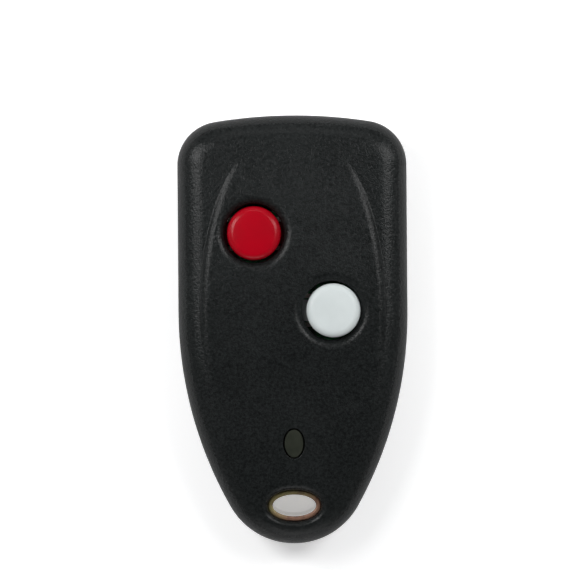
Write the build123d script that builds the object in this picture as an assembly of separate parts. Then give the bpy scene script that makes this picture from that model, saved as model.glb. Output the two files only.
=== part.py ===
from build123d import *
import math
import os

# Alarm key fob lying on its back, in millimetres. X runs across the face, Y towards the battery end,
# Z out of the face, and the origin is in the middle of the back.

# Round cell, whose length and thickness set the width and the depth of the case
cell_diameter = 10.3
can_length = 27.5
nub_length = 1.0
nub_radius = 2.75
sleeve_thickness = 0.1
cell_gap = 0.1
cell_end_gap = 0.95

# Contacts at the ends of the cell
contact_thickness = 0.4
contact_width = 4.4
contact_height = 5.2
contact_gap = 0.1
contact_leg_height = 1.6
contact_leg_reach = 5.0
contact_foot_length = 2.4
contact_foot_width = 1.4
spring_length = 2.15
spring_wire = 0.4
spring_large_radius = 2.3
spring_small_radius = 1.3
spring_turns = 2.25

# Case
case_length = 67.4
end_bow_radius = 77.0
corner_radius = 6.9
nose_radius = 11.5
taper_start_share = 0.043
case_wall = 1.6
shoulder_radius = 4.2
back_edge_radius = 3.5
back_cover_height = 6.3
deck_fall_radius = 200.0
seam_depth = 0.25
seam_height = 0.3
tongue_thickness = 0.7
tongue_height = 1.0
tongue_gap = 0.1
cut_overrun = 1.0

# Raised oval panel on the face
panel_side_inset = 3.15
panel_end_inset = 1.4
panel_centre_share = 0.03
panel_rise = 0.7
panel_crown_share = 0.147
panel_fade_inset = 7.2
panel_edge_radius = 1.6

# Buttons and their wells
button_side_inset = 8.85
red_switch_gap = 0.6
white_button_share = 0.0453
well_radius = 4.6
well_lip_radius = 1.4
cap_gap = 0.4
white_cap_shift = 0.3
cap_proud = 0.8
cap_crown = 0.12
cap_edge_radius = 1.1
cap_wall = 1.1
cap_top_thickness = 1.3
cap_ear_reach = 1.1
cap_ear_width = 3.4
cap_ear_thickness = 0.7
cap_ear_gap = 0.05
cap_post_radius = 1.6
button_travel = 0.25
press_gap = 0.15

# Push switches under the buttons
switch_size = 6.0
switch_height = 3.5
switch_corner_radius = 0.4
switch_cover_thickness = 0.3
switch_cavity_radius = 2.4
switch_cavity_depth = 1.8
plunger_radius = 1.75
plunger_proud = 0.8
plunger_gap = 0.05
plunger_flange_radius = 2.15
plunger_flange_thickness = 0.5
plunger_nub_radius = 0.9
dome_radius = 2.1
dome_rise = 0.4
dome_thickness = 0.1
dome_gap = 0.02
leg_width = 0.7
leg_thickness = 0.2
leg_length = 1.4
leg_height = 1.0
leg_pitch = 4.5

# Circuit board
board_thickness = 1.6
board_gap = 0.3
board_cell_gap = 0.5
board_end_gap = 0.5
antenna_margin = 0.4
antenna_width = 0.8
antenna_thickness = 0.1
antenna_top_share = -0.024

# Parts on the board, placed in from the side of the case and by shares of its length
encoder_side_inset = 10.0
encoder_share = 0.024
encoder_width = 3.9
encoder_length = 8.7
encoder_height = 1.5
encoder_leg_pitch = 1.27
encoder_leg_count = 7
encoder_leg_width = 0.4
encoder_leg_reach = 1.0
encoder_standoff = 0.15
pin_mark_radius = 0.4
pin_mark_depth = 0.1
resonator_side_inset = 8.2
resonator_share = -0.178
resonator_radius = 4.1
resonator_height = 3.0
resonator_rim_width = 0.4
resonator_rim_height = 0.5
resonator_edge_radius = 0.5
transistor_side_inset = 11.6
transistor_share = -0.182
transistor_length = 2.9
transistor_width = 1.3
transistor_height = 1.0
transistor_leg_width = 0.4
transistor_leg_reach = 0.6
transistor_leg_pitch = 0.95
coil_side_inset = 7.4
coil_share = -0.137
coil_radius = 1.9
coil_winding_radius = 1.6
coil_height = 2.4
coil_flange_thickness = 0.45
chip_length = 2.0
chip_width = 1.25
chip_pitch = 2.6
resistor_height = 0.55
resistor_side_inset = 5.4
resistor_share = -0.068
resistor_count = 3
capacitor_height = 0.9
capacitor_side_inset = 6.0
capacitor_share = -0.226
capacitor_count = 3

# Status lamp and its window
window_share = -0.2626
window_radius_x = 1.45
window_radius_y = 2.15
window_gap = 0.25
window_sink = 0.05
window_flange_width = 0.9
window_flange_gap = 0.05
lamp_gap = 0.5
lamp_length = 3.2
lamp_width = 2.8
lamp_height = 1.9
lamp_cup_radius = 1.1
lamp_cup_depth = 0.5
lamp_corner_radius = 0.2

# Oval metal eyelet for the key ring
keyring_inset = 6.15
eyelet_bore_x = 3.4
eyelet_bore_y = 1.7
eyelet_wall = 0.75
eyelet_rim_chamfer = 0.25
eyelet_front_recess = 1.4
eyelet_back_recess = 0.8
eyelet_gap = 0.05
eyelet_collar_width = 0.7
eyelet_collar_height = 0.6
eyelet_sleeve_wall = 1.1
keyring_lip_radius = 1.15
keyring_back_lip_radius = 0.6

# Screw, screw bosses and supports of the board
screw_share = -0.104
screw_head_radius = 1.9
screw_head_height = 1.3
screw_head_recess = 0.7
screw_head_edge_radius = 0.35
screw_shank_radius = 0.9
screw_length = 8.0
screw_gap = 0.1
screw_tip_gap = 0.5
cross_length = 2.2
cross_width = 0.5
cross_depth = 0.8
front_boss_radius = 3.0
front_pin_radius = 2.2
front_pin_gap = 0.15
back_boss_radius = 3.4
screw_bore_gap = 0.05
support_radius = 1.2
support_gap = 0.05
upper_support_side_inset = 5.6
upper_support_share = 0.126
lower_support_side_inset = 6.2
lower_support_share = -0.285

# Snap hooks at the battery end and ribs round the cell
hook_offset_x = 6.0
hook_width = 4.0
hook_thickness = 0.9
hook_gap = 0.15
hook_height = 2.7
hook_nose_reach = 0.4
hook_nose_height = 0.7
cradle_offset_x = 8.5
cradle_thickness = 1.0
cradle_height = 2.6
cradle_reach = 0.6

# Levels and places that follow from the sizes above
half_width = can_length / 2 + spring_length + contact_thickness + contact_gap + case_wall
deck_height = case_wall + cell_gap + cell_diameter + cell_gap + case_wall
floor_z = case_wall
ceiling_z = deck_height - case_wall
cell_z = floor_z + cell_gap + cell_diameter / 2
panel_top_z = deck_height + panel_rise
cap_radius = well_radius - cap_gap
cap_top_z = panel_top_z + cap_proud
cap_ear_top_z = ceiling_z - cap_ear_gap
cap_low_z = cap_ear_top_z - cap_ear_thickness
switch_top_z = cap_low_z - button_travel - press_gap
board_top_z = switch_top_z - switch_height
board_low_z = board_top_z - board_thickness
plunger_top_z = switch_top_z + plunger_proud
switch_cover_low_z = switch_top_z - switch_cover_thickness
switch_cavity_floor_z = switch_cover_low_z - switch_cavity_depth
screw_low_z = screw_head_recess
screw_seat_z = screw_low_z + screw_head_height
screw_tip_z = screw_seat_z + screw_length + screw_tip_gap

taper_start_y = case_length * taper_start_share
end_centre_y = case_length / 2 - end_bow_radius
corner_centre_x = half_width - corner_radius
corner_centre_y = end_centre_y + math.sqrt((end_bow_radius - corner_radius) ** 2 - corner_centre_x**2)
corner_angle = math.degrees(math.atan2(corner_centre_y - end_centre_y, corner_centre_x))
nose_centre_y = nose_radius - case_length / 2
taper_run = taper_start_y - nose_centre_y
taper_radius = (half_width**2 + taper_run**2 - nose_radius**2) / (2 * (half_width - nose_radius))
taper_centre_x = half_width - taper_radius
taper_angle = math.degrees(math.atan2(taper_run, -taper_centre_x))


# Half the width of the case where its side tapers towards the nose
def side_x(length_share):
    return taper_centre_x + math.sqrt(taper_radius**2 - (case_length * length_share - taper_start_y) ** 2)


# The panel's arch starts at its crown and sinks into the deck before the end of the case
panel_half_width = half_width - panel_side_inset
panel_half_length = case_length / 2 - panel_end_inset
panel_centre_y = case_length * panel_centre_share
panel_crown_y = case_length * panel_crown_share
panel_fade_y = case_length / 2 - panel_fade_inset
panel_arch_radius = ((panel_fade_y - panel_crown_y) ** 2 + panel_rise**2) / (2 * panel_rise)

# The rim of the can clears the round corners of the case
inner_corner_radius = corner_radius - case_wall
can_corner_x = can_length / 2 - corner_centre_x
cell_corner_y = corner_centre_y + math.sqrt(inner_corner_radius**2 - can_corner_x**2)
cell_y = cell_corner_y - cell_end_gap - cell_diameter / 2
keyring_y = keyring_inset - case_length / 2
eyelet_radius_x = eyelet_bore_x + eyelet_wall
eyelet_radius_y = eyelet_bore_y + eyelet_wall
passage_x = eyelet_radius_x + eyelet_gap
passage_y = eyelet_radius_y + eyelet_gap
eyelet_sleeve_x = passage_x + eyelet_sleeve_wall
eyelet_sleeve_y = passage_y + eyelet_sleeve_wall
eyelet_face_z = deck_height - deck_fall_radius + math.sqrt(deck_fall_radius**2 - keyring_y**2)
eyelet_top_z = eyelet_face_z - eyelet_front_recess
board_high_y = cell_y - cell_diameter / 2 - board_cell_gap
board_end_y = keyring_y + eyelet_sleeve_y + board_end_gap
antenna_top_y = case_length * antenna_top_share
window_y = case_length * window_share
screw_y = case_length * screw_share
button_offset_x = panel_half_width - button_side_inset
red_button_y = board_high_y - switch_size / 2 - red_switch_gap
button_places = {
    "red": (-button_offset_x, red_button_y),
    "white": (button_offset_x, case_length * white_button_share),
}
cap_shifts = {"red": 0, "white": white_cap_shift}
encoder_x = encoder_side_inset - half_width
encoder_y = case_length * encoder_share
resonator_x = side_x(resonator_share) - resonator_side_inset
resonator_y = case_length * resonator_share
transistor_x = transistor_side_inset - side_x(transistor_share)
transistor_y = case_length * transistor_share
coil_x = coil_side_inset - side_x(coil_share)
coil_y = case_length * coil_share
resistor_x = resistor_side_inset - side_x(resistor_share)
capacitor_x = capacitor_side_inset - side_x(capacitor_share)
upper_support_x = half_width - upper_support_side_inset
lower_support_x = side_x(lower_support_share) - lower_support_side_inset
upper_support_y = case_length * upper_support_share
lower_support_y = case_length * lower_support_share
edge_test_shares = [0.1, 0.5, 0.9]
edge_slack_share = 0.001
support_places = [
    (upper_support_x, upper_support_y),
    (-upper_support_x, upper_support_y),
    (lower_support_x, lower_support_y),
    (-lower_support_x, lower_support_y),
]


def block(x_low, x_high, y_low, y_high, z_low, z_high):
    corner = (Align.MIN, Align.MIN, Align.MIN)
    return Pos(x_low, y_low, z_low) * Box(x_high - x_low, y_high - y_low, z_high - z_low, align=corner)


def rod(x, y, radius, z_low, z_high):
    return Pos(x, y, z_low) * extrude(Circle(radius), amount=z_high - z_low)


def cross_rod(x_low, x_high, y, z, radius):
    return extrude(Plane(origin=(x_low, y, z), z_dir=(1, 0, 0)) * Circle(radius), amount=x_high - x_low)


def oval(y, radius_x, radius_y, z_low, z_high):
    return Pos(0, y, z_low) * extrude(Ellipse(radius_x, radius_y), amount=z_high - z_low)


# Plan outline of the case, every arc drawn in by the inset: bowed end, corners, straight sides, tapers, nose
def outline(inset):
    right_side = [
        CenterArc((corner_centre_x, corner_centre_y), corner_radius - inset, 0, corner_angle),
        Line((half_width - inset, taper_start_y), (half_width - inset, corner_centre_y)),
        CenterArc((taper_centre_x, taper_start_y), taper_radius - inset, -taper_angle, taper_angle),
    ]
    left_side = [mirror(edge, about=Plane.YZ) for edge in right_side]
    bow = CenterArc((0, end_centre_y), end_bow_radius - inset, corner_angle, 180 - 2 * corner_angle)
    nose = CenterArc((0, nose_centre_y), nose_radius - inset, 180 + taper_angle, 180 - 2 * taper_angle)
    return make_face([bow, nose] + right_side + left_side)


def outline_band(outer_inset, inner_inset, z_low, z_high):
    return Pos(0, 0, z_low) * extrude(outline(outer_inset) - outline(inner_inset), amount=z_high - z_low)


# Side view of the space under the deck: level behind the middle, falling to the nose on a long arc
def under_deck(inset):
    reach = case_length / 2 + cut_overrun
    radius = deck_fall_radius - inset
    fall_angle = math.asin(reach / radius)
    nose_z = deck_height - deck_fall_radius + radius * math.cos(fall_angle)
    profile = [
        CenterArc((0, deck_height - deck_fall_radius), radius, 90, math.degrees(fall_angle)),
        Line((-reach, nose_z), (-reach, inset)),
        Line((-reach, inset), (reach, inset)),
        Line((reach, inset), (reach, deck_height - inset)),
        Line((reach, deck_height - inset), (0, deck_height - inset)),
    ]
    return extrude(Plane.YZ * make_face(profile), amount=half_width + cut_overrun, both=True)


# Whole form of the case with its rolled shoulder and rounded back edge, drawn in all over by the inset
def case_form(inset):
    form = Pos(0, 0, inset) * extrude(outline(inset), amount=deck_height) & under_deck(inset)
    rim = form.edges().filter_by(Axis.Z, reverse=True).filter_by(Axis.X, reverse=True)
    shoulder = [edge for edge in rim if edge.center().Z > back_cover_height]
    form = fillet(shoulder, shoulder_radius - inset)
    return fillet(form.edges().group_by(Axis.Z)[0], back_edge_radius - inset)


# Oval pad under a shallow arch, with a rolled edge. Both its ends sink below the deck
def panel():
    low_z = deck_height - shoulder_radius
    high_y = panel_fade_y + cut_overrun
    pad = oval(panel_centre_y, panel_half_width, panel_half_length, low_z, panel_top_z + cut_overrun)
    arch_centre_z = panel_top_z - panel_arch_radius
    pad &= cross_rod(-half_width, half_width, panel_crown_y, arch_centre_z, panel_arch_radius)
    rim = pad.edges().filter_by(GeomType.ELLIPSE, reverse=True).filter_by(Axis.Z, reverse=True)
    pad = fillet(rim, panel_edge_radius)
    return pad & block(-half_width, half_width, nose_centre_y, high_y, low_z, panel_top_z)


# Oval tube of the case round the eyelet, before the parting plane cuts it
def eyelet_sleeve():
    return oval(keyring_y, eyelet_sleeve_x, eyelet_sleeve_y, 0, deck_height)


def eyelet_passage():
    passage_top_z = deck_height + cut_overrun
    passage = oval(keyring_y, passage_x, passage_y, -cut_overrun, passage_top_z)
    groove_reach = eyelet_collar_width + eyelet_gap
    groove_half_height = eyelet_collar_height / 2
    groove = oval(
        keyring_y,
        eyelet_radius_x + groove_reach,
        eyelet_radius_y + groove_reach,
        back_cover_height - groove_half_height,
        back_cover_height + groove_half_height,
    )
    return passage + groove


def front_half():
    reach = case_length
    return block(-reach, reach, -reach, reach, back_cover_height, panel_top_z + cut_overrun)


def back_half():
    reach = case_length
    return block(-reach, reach, -reach, reach, -cut_overrun, back_cover_height)


def hook_slab(grow):
    slabs = []
    for side in (-1, 1):
        middle = side * hook_offset_x
        reach = hook_width / 2 + grow
        slabs.append(block(middle - reach, middle + reach, 0, case_length, 0, deck_height))
    return slabs[0] + slabs[1]


# Edges round the mouth of a round or oval hole, between two levels
def mouth(cover, x, y, radius_x, radius_y, low_z, high_z):
    edges = []
    for edge in cover.edges().filter_by(Axis.Z, reverse=True):
        points = [edge @ share for share in edge_test_shares]
        reaches = [math.hypot((point.X - x) / radius_x, (point.Y - y) / radius_y) for point in points]
        on_hole = all(abs(reach - 1) < edge_slack_share for reach in reaches)
        if on_hole and low_z < points[0].Z < high_z:
            edges.append(edge)
    return edges


def front_skin():
    skin = case_form(0) + panel()
    for x, y in button_places.values():
        skin -= rod(x, y, well_radius, board_top_z, panel_top_z + cut_overrun)
    for x, y in button_places.values():
        lip = mouth(skin, x, y, well_radius, well_radius, deck_height - panel_rise, panel_top_z)
        skin = skin.fillet(well_lip_radius, lip)
    return skin - case_form(case_wall)


def front_cover():
    inside = eyelet_sleeve()
    inside += rod(0, screw_y, front_boss_radius, board_top_z, deck_height)
    inside += rod(0, screw_y, front_pin_radius, board_low_z + support_gap, board_top_z)
    for x, y in support_places:
        inside += rod(x, y, support_radius, board_top_z + support_gap, deck_height)
    cover = (front_skin() + (inside & case_form(case_wall / 2))) & front_half()
    cover -= eyelet_passage()
    rebate_inset = case_wall - tongue_thickness - tongue_gap
    rebate_top_z = back_cover_height + tongue_height + tongue_gap
    cover -= outline_band(rebate_inset, case_wall + tongue_gap, back_cover_height - cut_overrun, rebate_top_z)
    hook_top_z = back_cover_height + hook_height
    catch_low_z = hook_top_z - hook_nose_height - hook_gap
    catch_outer_inset = case_wall - hook_nose_reach - hook_gap
    catch = outline_band(catch_outer_inset, case_wall + hook_gap, catch_low_z, hook_top_z + hook_gap)
    cover -= catch & hook_slab(hook_gap)
    cover -= rod(0, screw_y, screw_shank_radius + screw_bore_gap, screw_seat_z, screw_tip_z)
    window_x = window_radius_x + window_gap
    cover -= oval(window_y, window_x, window_radius_y + window_gap, board_top_z, deck_height)
    lip = mouth(cover, 0, keyring_y, passage_x, passage_y, eyelet_top_z, deck_height)
    return cover.fillet(keyring_lip_radius, lip)


def back_cover():
    skin = case_form(0) - case_form(case_wall)
    inside = eyelet_sleeve()
    inside += rod(0, screw_y, back_boss_radius, 0, board_low_z)
    for x, y in support_places:
        inside += rod(x, y, support_radius, 0, board_low_z)
    cradle_low_y = cell_y - cell_diameter / 2 - cradle_reach
    for side in (-1, 1):
        middle = side * cradle_offset_x
        half = cradle_thickness / 2
        cradle_top_z = floor_z + cradle_height
        inside += block(middle - half, middle + half, cradle_low_y, case_length / 2, 0, cradle_top_z)
    cover = (skin + (inside & case_form(case_wall / 2))) & back_half()
    cover -= cross_rod(-can_length / 2, can_length / 2, cell_y, cell_z, cell_diameter / 2 + cell_gap)
    cover -= eyelet_passage()
    tongue_top_z = back_cover_height + tongue_height
    cover += outline_band(case_wall - tongue_thickness, case_wall, back_cover_height, tongue_top_z)
    cover += hooks() + contact_stop()
    seam_low_z = back_cover_height - seam_height
    cover -= outline_band(-cut_overrun, seam_depth, seam_low_z, back_cover_height + cut_overrun)
    cover -= rod(0, screw_y, screw_head_radius + screw_gap, -cut_overrun, screw_seat_z)
    cover -= rod(0, screw_y, screw_shank_radius + screw_gap, 0, back_cover_height)
    lip = mouth(cover, 0, keyring_y, passage_x, passage_y, -keyring_back_lip_radius, keyring_back_lip_radius)
    return cover.fillet(keyring_back_lip_radius, lip)


# Two tabs that rise inside the end wall, each with a nose that snaps into the front cover
def hooks():
    inner_inset = case_wall + hook_gap + hook_thickness
    top_z = back_cover_height + hook_height
    tabs = outline_band(case_wall + hook_gap, inner_inset, floor_z, top_z)
    roots = outline_band(case_wall / 2, inner_inset, floor_z, back_cover_height)
    noses = outline_band(case_wall - hook_nose_reach, inner_inset, top_z - hook_nose_height, top_z)
    return (tabs + roots + noses) & hook_slab(0)


# Upright stop behind the positive contact
def contact_stop():
    inner_x = can_length / 2 + nub_length + contact_thickness + contact_gap
    outer_x = half_width - case_wall - contact_gap
    low_y = cell_y - contact_width / 2
    return block(inner_x, outer_x, low_y, low_y + contact_width, floor_z, cell_z + contact_height / 2)


def led_window():
    low_z = board_top_z + lamp_height + lamp_gap
    stem = oval(window_y, window_radius_x, window_radius_y, low_z, deck_height) & case_form(window_sink)
    flange = oval(
        window_y,
        window_radius_x + window_gap + window_flange_width,
        window_radius_y + window_gap + window_flange_width,
        low_z,
        deck_height,
    )
    return stem + (flange & case_form(case_wall + window_flange_gap))


def keyring_eyelet():
    tube = oval(keyring_y, eyelet_radius_x, eyelet_radius_y, eyelet_back_recess, eyelet_top_z)
    tube -= oval(keyring_y, eyelet_bore_x, eyelet_bore_y, 0, deck_height)
    rims = tube.edges().group_by(Axis.Z)
    tube = chamfer(rims[0] + rims[-1], eyelet_rim_chamfer)
    half_height = eyelet_collar_height / 2 - eyelet_gap
    collar = oval(
        keyring_y,
        eyelet_radius_x + eyelet_collar_width,
        eyelet_radius_y + eyelet_collar_width,
        back_cover_height - half_height,
        back_cover_height + half_height,
    )
    middle_x = eyelet_bore_x + eyelet_wall / 2
    collar -= oval(keyring_y, middle_x, eyelet_bore_y + eyelet_wall / 2, 0, deck_height)
    return tube + collar


def case_screw():
    head = rod(0, screw_y, screw_head_radius, screw_low_z, screw_seat_z)
    head = fillet(head.edges().group_by(Axis.Z)[0], screw_head_edge_radius)
    shank = rod(0, screw_y, screw_shank_radius, screw_seat_z, screw_seat_z + screw_length)
    half_length = cross_length / 2
    half_slot = cross_width / 2
    slot_top_z = screw_low_z + cross_depth
    across = block(-half_length, half_length, screw_y - half_slot, screw_y + half_slot, 0, slot_top_z)
    along = block(-half_slot, half_slot, screw_y - half_length, screw_y + half_length, 0, slot_top_z)
    return head + shank - across - along


# Cap with a crowned top, two ears that stop it under the front wall, and a post on the switch plunger
def button_cap(x, y, shift):
    crown_radius = (cap_radius**2 + cap_crown**2) / (2 * cap_crown)
    crown_angle = math.degrees(math.asin(cap_radius / crown_radius))
    rim_z = cap_top_z - cap_crown
    profile = make_face(
        [
            Line((0, cap_low_z), (cap_radius, cap_low_z)),
            Line((cap_radius, cap_low_z), (cap_radius, rim_z)),
            CenterArc((0, cap_top_z - crown_radius), crown_radius, 90 - crown_angle, crown_angle),
            Line((0, cap_top_z), (0, cap_low_z)),
        ]
    )
    rim = profile.vertices().sort_by_distance((cap_radius, rim_z))[0]
    centre_x = x + shift
    body = Pos(centre_x, y, 0) * revolve(Plane.XZ * fillet(rim, cap_edge_radius), Axis.Z)
    reach = cap_radius + cap_ear_reach
    half_ear = cap_ear_width / 2
    ears = rod(centre_x, y, reach, cap_low_z, cap_ear_top_z)
    ears &= block(centre_x - reach, centre_x + reach, y - half_ear, y + half_ear, cap_low_z, cap_ear_top_z)
    hollow_top_z = rim_z - cap_top_thickness
    body = body + ears - rod(centre_x, y, cap_radius - cap_wall, cap_low_z, hollow_top_z)
    return body + rod(x, y, cap_post_radius, plunger_top_z, hollow_top_z)


def battery_can():
    can = cross_rod(-can_length / 2, can_length / 2, cell_y, cell_z, cell_diameter / 2 - sleeve_thickness)
    return can + cross_rod(can_length / 2, can_length / 2 + nub_length, cell_y, cell_z, nub_radius)


def battery_sleeve():
    half_length = can_length / 2
    radius = cell_diameter / 2
    outside = cross_rod(-half_length, half_length, cell_y, cell_z, radius)
    return outside - cross_rod(-half_length, half_length, cell_y, cell_z, radius - sleeve_thickness)


# Upright plate with a leg along the board and a foot soldered to it. The foot turns towards the middle
def contact(inner_x, side):
    outer_x = inner_x + side * contact_thickness
    low_x = min(inner_x, outer_x)
    high_x = max(inner_x, outer_x)
    plate_low_y = cell_y - contact_width / 2
    plate_low_z = cell_z - contact_height / 2
    leg_low_y = plate_low_y - contact_leg_reach
    plate_high_y = plate_low_y + contact_width
    plate = block(low_x, high_x, plate_low_y, plate_high_y, plate_low_z, plate_low_z + contact_height)
    leg = block(low_x, high_x, leg_low_y, plate_low_y, board_top_z, board_top_z + contact_leg_height)
    foot_x = inner_x - side * contact_foot_length
    foot = block(
        min(foot_x, outer_x),
        max(foot_x, outer_x),
        leg_low_y,
        leg_low_y + contact_foot_width,
        board_top_z,
        board_top_z + contact_thickness,
    )
    return plate + leg + foot


# Path of a wound wire as pairs of tangent arcs, two for each quarter turn, and points along the same curve
def wound_path(first_radius, last_radius, length, turns):
    def place(share):
        angle = 2 * math.pi * turns * share
        radius = first_radius + (last_radius - first_radius) * share
        point = Vector(length * share, radius * math.cos(angle), radius * math.sin(angle))
        spread = last_radius - first_radius
        sweep_speed = 2 * math.pi * turns * radius
        heading = Vector(
            length,
            spread * math.cos(angle) - sweep_speed * math.sin(angle),
            spread * math.sin(angle) + sweep_speed * math.cos(angle),
        )
        return point, heading.normalized()

    arcs = []
    steps = round(4 * turns)
    for step in range(steps):
        start, start_heading = place(step / steps)
        end, end_heading = place((step + 1) / steps)
        chord = end - start
        both = start_heading + end_heading
        square = 4 - both.dot(both)
        linear = 2 * chord.dot(both)
        reach = (math.sqrt(linear**2 + 4 * square * chord.dot(chord)) - linear) / (2 * square)
        first_corner = start + start_heading * reach
        last_corner = end - end_heading * reach
        joint = (first_corner + last_corner) / 2
        arcs.append(Edge.make_tangent_arc(start, start_heading, joint))
        arcs.append(Edge.make_tangent_arc(joint, last_corner - first_corner, end))
    fine = round(48 * turns)
    samples = [place(step / fine)[0] for step in range(fine + 1)]
    return arcs, samples


# Round wire swept along a wound path. It prints the least gap between neighbouring turns
def negative_spring():
    length = spring_length - spring_wire - contact_gap
    start_x = can_length / 2 + spring_length - spring_wire / 2 - contact_gap / 2
    arcs, samples = wound_path(spring_large_radius, spring_small_radius, length, spring_turns)
    apart = 24
    gaps = []
    for index, point in enumerate(samples):
        for other in samples[index + apart :]:
            gaps.append((other - point).length - spring_wire)
    print("negative_spring least gap to itself", round(min(gaps), 3), "mm")
    section = Plane(origin=arcs[0] @ 0, z_dir=arcs[0] % 0) * Circle(spring_wire / 2)
    return Pos(-start_x, cell_y, cell_z) * sweep(section, path=Wire(arcs))


# Wound drum between two flanges
def rf_coil():
    top_z = board_top_z + coil_height
    drum = rod(coil_x, coil_y, coil_winding_radius, board_top_z, top_z)
    drum += rod(coil_x, coil_y, coil_radius, board_top_z, board_top_z + coil_flange_thickness)
    return drum + rod(coil_x, coil_y, coil_radius, top_z - coil_flange_thickness, top_z)


def board_outline():
    return outline(case_wall + board_gap)


def circuit_board():
    board = Pos(0, 0, board_low_z) * extrude(board_outline(), amount=board_thickness)
    board &= block(-half_width, half_width, board_end_y, board_high_y, board_low_z, board_top_z)
    return board - rod(0, screw_y, front_pin_radius + front_pin_gap, board_low_z, board_top_z)


# Copper loop along the edge of the board, open towards the switches
def antenna_loop():
    outer_inset = case_wall + board_gap + antenna_margin
    top_z = board_top_z + antenna_thickness
    low_y = board_end_y + antenna_margin
    loop = outline_band(outer_inset, outer_inset + antenna_width, board_top_z, top_z)
    bar = Pos(0, 0, board_top_z) * extrude(outline(outer_inset), amount=antenna_thickness)
    bar &= block(-half_width, half_width, low_y, low_y + antenna_width, board_top_z, top_z)
    loop &= block(-half_width, half_width, low_y, antenna_top_y, board_top_z, top_z)
    return loop + bar


def switch_base(x, y):
    half = switch_size / 2
    base = block(x - half, x + half, y - half, y + half, board_top_z, switch_cover_low_z)
    base = fillet(base.edges().filter_by(Axis.Z), switch_corner_radius)
    return base - rod(x, y, switch_cavity_radius, switch_cavity_floor_z, switch_cover_low_z)


def switch_cover(x, y):
    half = switch_size / 2
    cover = block(x - half, x + half, y - half, y + half, switch_cover_low_z, switch_top_z)
    cover = fillet(cover.edges().filter_by(Axis.Z), switch_corner_radius)
    return cover - rod(x, y, plunger_radius + plunger_gap, switch_cover_low_z, switch_top_z)


# Thin sprung disc on the floor of the switch
def switch_dome(x, y):
    ball_radius = (dome_radius**2 + dome_rise**2) / (2 * dome_rise)
    centre_z = switch_cavity_floor_z + dome_rise - ball_radius
    disc = Pos(x, y, centre_z) * Sphere(ball_radius)
    disc &= rod(x, y, dome_radius, switch_cavity_floor_z, switch_cover_low_z)
    return disc - Pos(x, y, centre_z - dome_thickness) * Sphere(ball_radius)


def switch_plunger(x, y):
    flange_top_z = switch_cover_low_z - plunger_gap
    flange_low_z = flange_top_z - plunger_flange_thickness
    nub_low_z = switch_cavity_floor_z + dome_rise + dome_gap
    stem = rod(x, y, plunger_radius, flange_low_z, plunger_top_z)
    flange = rod(x, y, plunger_flange_radius, flange_low_z, flange_top_z)
    return stem + flange + rod(x, y, plunger_nub_radius, nub_low_z, flange_low_z)


# Four bent terminals, two on each side of the switch
def switch_legs(x, y):
    half = switch_size / 2
    half_width_of_leg = leg_width / 2
    legs = []
    for side in (-1, 1):
        for end in (-1, 1):
            middle = y + end * leg_pitch / 2
            wall_x = x + side * half
            riser_x = wall_x + side * leg_thickness
            tip_x = wall_x + side * leg_length
            low_y = middle - half_width_of_leg
            high_y = middle + half_width_of_leg
            riser_span = sorted((wall_x, riser_x))
            foot_span = sorted((wall_x, tip_x))
            riser = block(*riser_span, low_y, high_y, board_top_z, board_top_z + leg_height)
            foot = block(*foot_span, low_y, high_y, board_top_z, board_top_z + leg_thickness)
            legs.append(riser + foot)
    return legs


def status_led():
    half_length = lamp_length / 2
    half_lamp = lamp_width / 2
    top_z = board_top_z + lamp_height
    lamp = block(-half_length, half_length, window_y - half_lamp, window_y + half_lamp, board_top_z, top_z)
    lamp = fillet(lamp.edges().filter_by(Axis.Z), lamp_corner_radius)
    return lamp - rod(0, window_y, lamp_cup_radius, top_z - lamp_cup_depth, top_z)


def encoder_chip():
    half = encoder_width / 2
    half_length = encoder_length / 2
    low_z = board_top_z + encoder_standoff
    top_z = low_z + encoder_height
    low_y = encoder_y - half_length
    chip = block(encoder_x - half, encoder_x + half, low_y, low_y + encoder_length, low_z, top_z)
    mark_x = encoder_x - half + 2 * pin_mark_radius
    mark_y = encoder_y + half_length - 2 * pin_mark_radius
    return chip - rod(mark_x, mark_y, pin_mark_radius, top_z - pin_mark_depth, top_z)


def encoder_legs():
    legs = []
    half_leg = encoder_leg_width / 2
    low_z = board_top_z
    shoulder_z = board_top_z + encoder_standoff + encoder_height / 2
    first_y = encoder_y - (encoder_leg_count - 1) * encoder_leg_pitch / 2
    for side in (-1, 1):
        for index in range(encoder_leg_count):
            middle = first_y + index * encoder_leg_pitch
            wall_x = encoder_x + side * encoder_width / 2
            knee_x = wall_x + side * encoder_leg_reach / 2
            tip_x = wall_x + side * encoder_leg_reach
            riser = block(
                min(wall_x, knee_x),
                max(wall_x, knee_x),
                middle - half_leg,
                middle + half_leg,
                low_z,
                shoulder_z,
            )
            foot = block(
                min(knee_x, tip_x),
                max(knee_x, tip_x),
                middle - half_leg,
                middle + half_leg,
                low_z,
                low_z + leg_thickness,
            )
            legs.append(riser + foot)
    return legs


def saw_resonator():
    rim_radius = resonator_radius + resonator_rim_width
    can = rod(resonator_x, resonator_y, resonator_radius, board_top_z, board_top_z + resonator_height)
    can = fillet(can.edges().group_by(Axis.Z)[-1], resonator_edge_radius)
    return can + rod(resonator_x, resonator_y, rim_radius, board_top_z, board_top_z + resonator_rim_height)


def rf_transistor():
    half_length = transistor_length / 2
    half = transistor_width / 2
    top_z = board_top_z + transistor_height
    return block(
        transistor_x - half_length,
        transistor_x + half_length,
        transistor_y - half,
        transistor_y + half,
        board_top_z,
        top_z,
    )


def transistor_legs():
    legs = []
    half_leg = transistor_leg_width / 2
    top_z = board_top_z + transistor_height / 2
    for side, shift in ((-1, -transistor_leg_pitch), (-1, transistor_leg_pitch), (1, 0)):
        middle = transistor_x + shift
        wall_y = transistor_y + side * transistor_width / 2
        tip_y = wall_y + side * transistor_leg_reach
        legs.append(block(middle - half_leg, middle + half_leg, *sorted((wall_y, tip_y)), board_top_z, top_z))
    return legs


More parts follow.
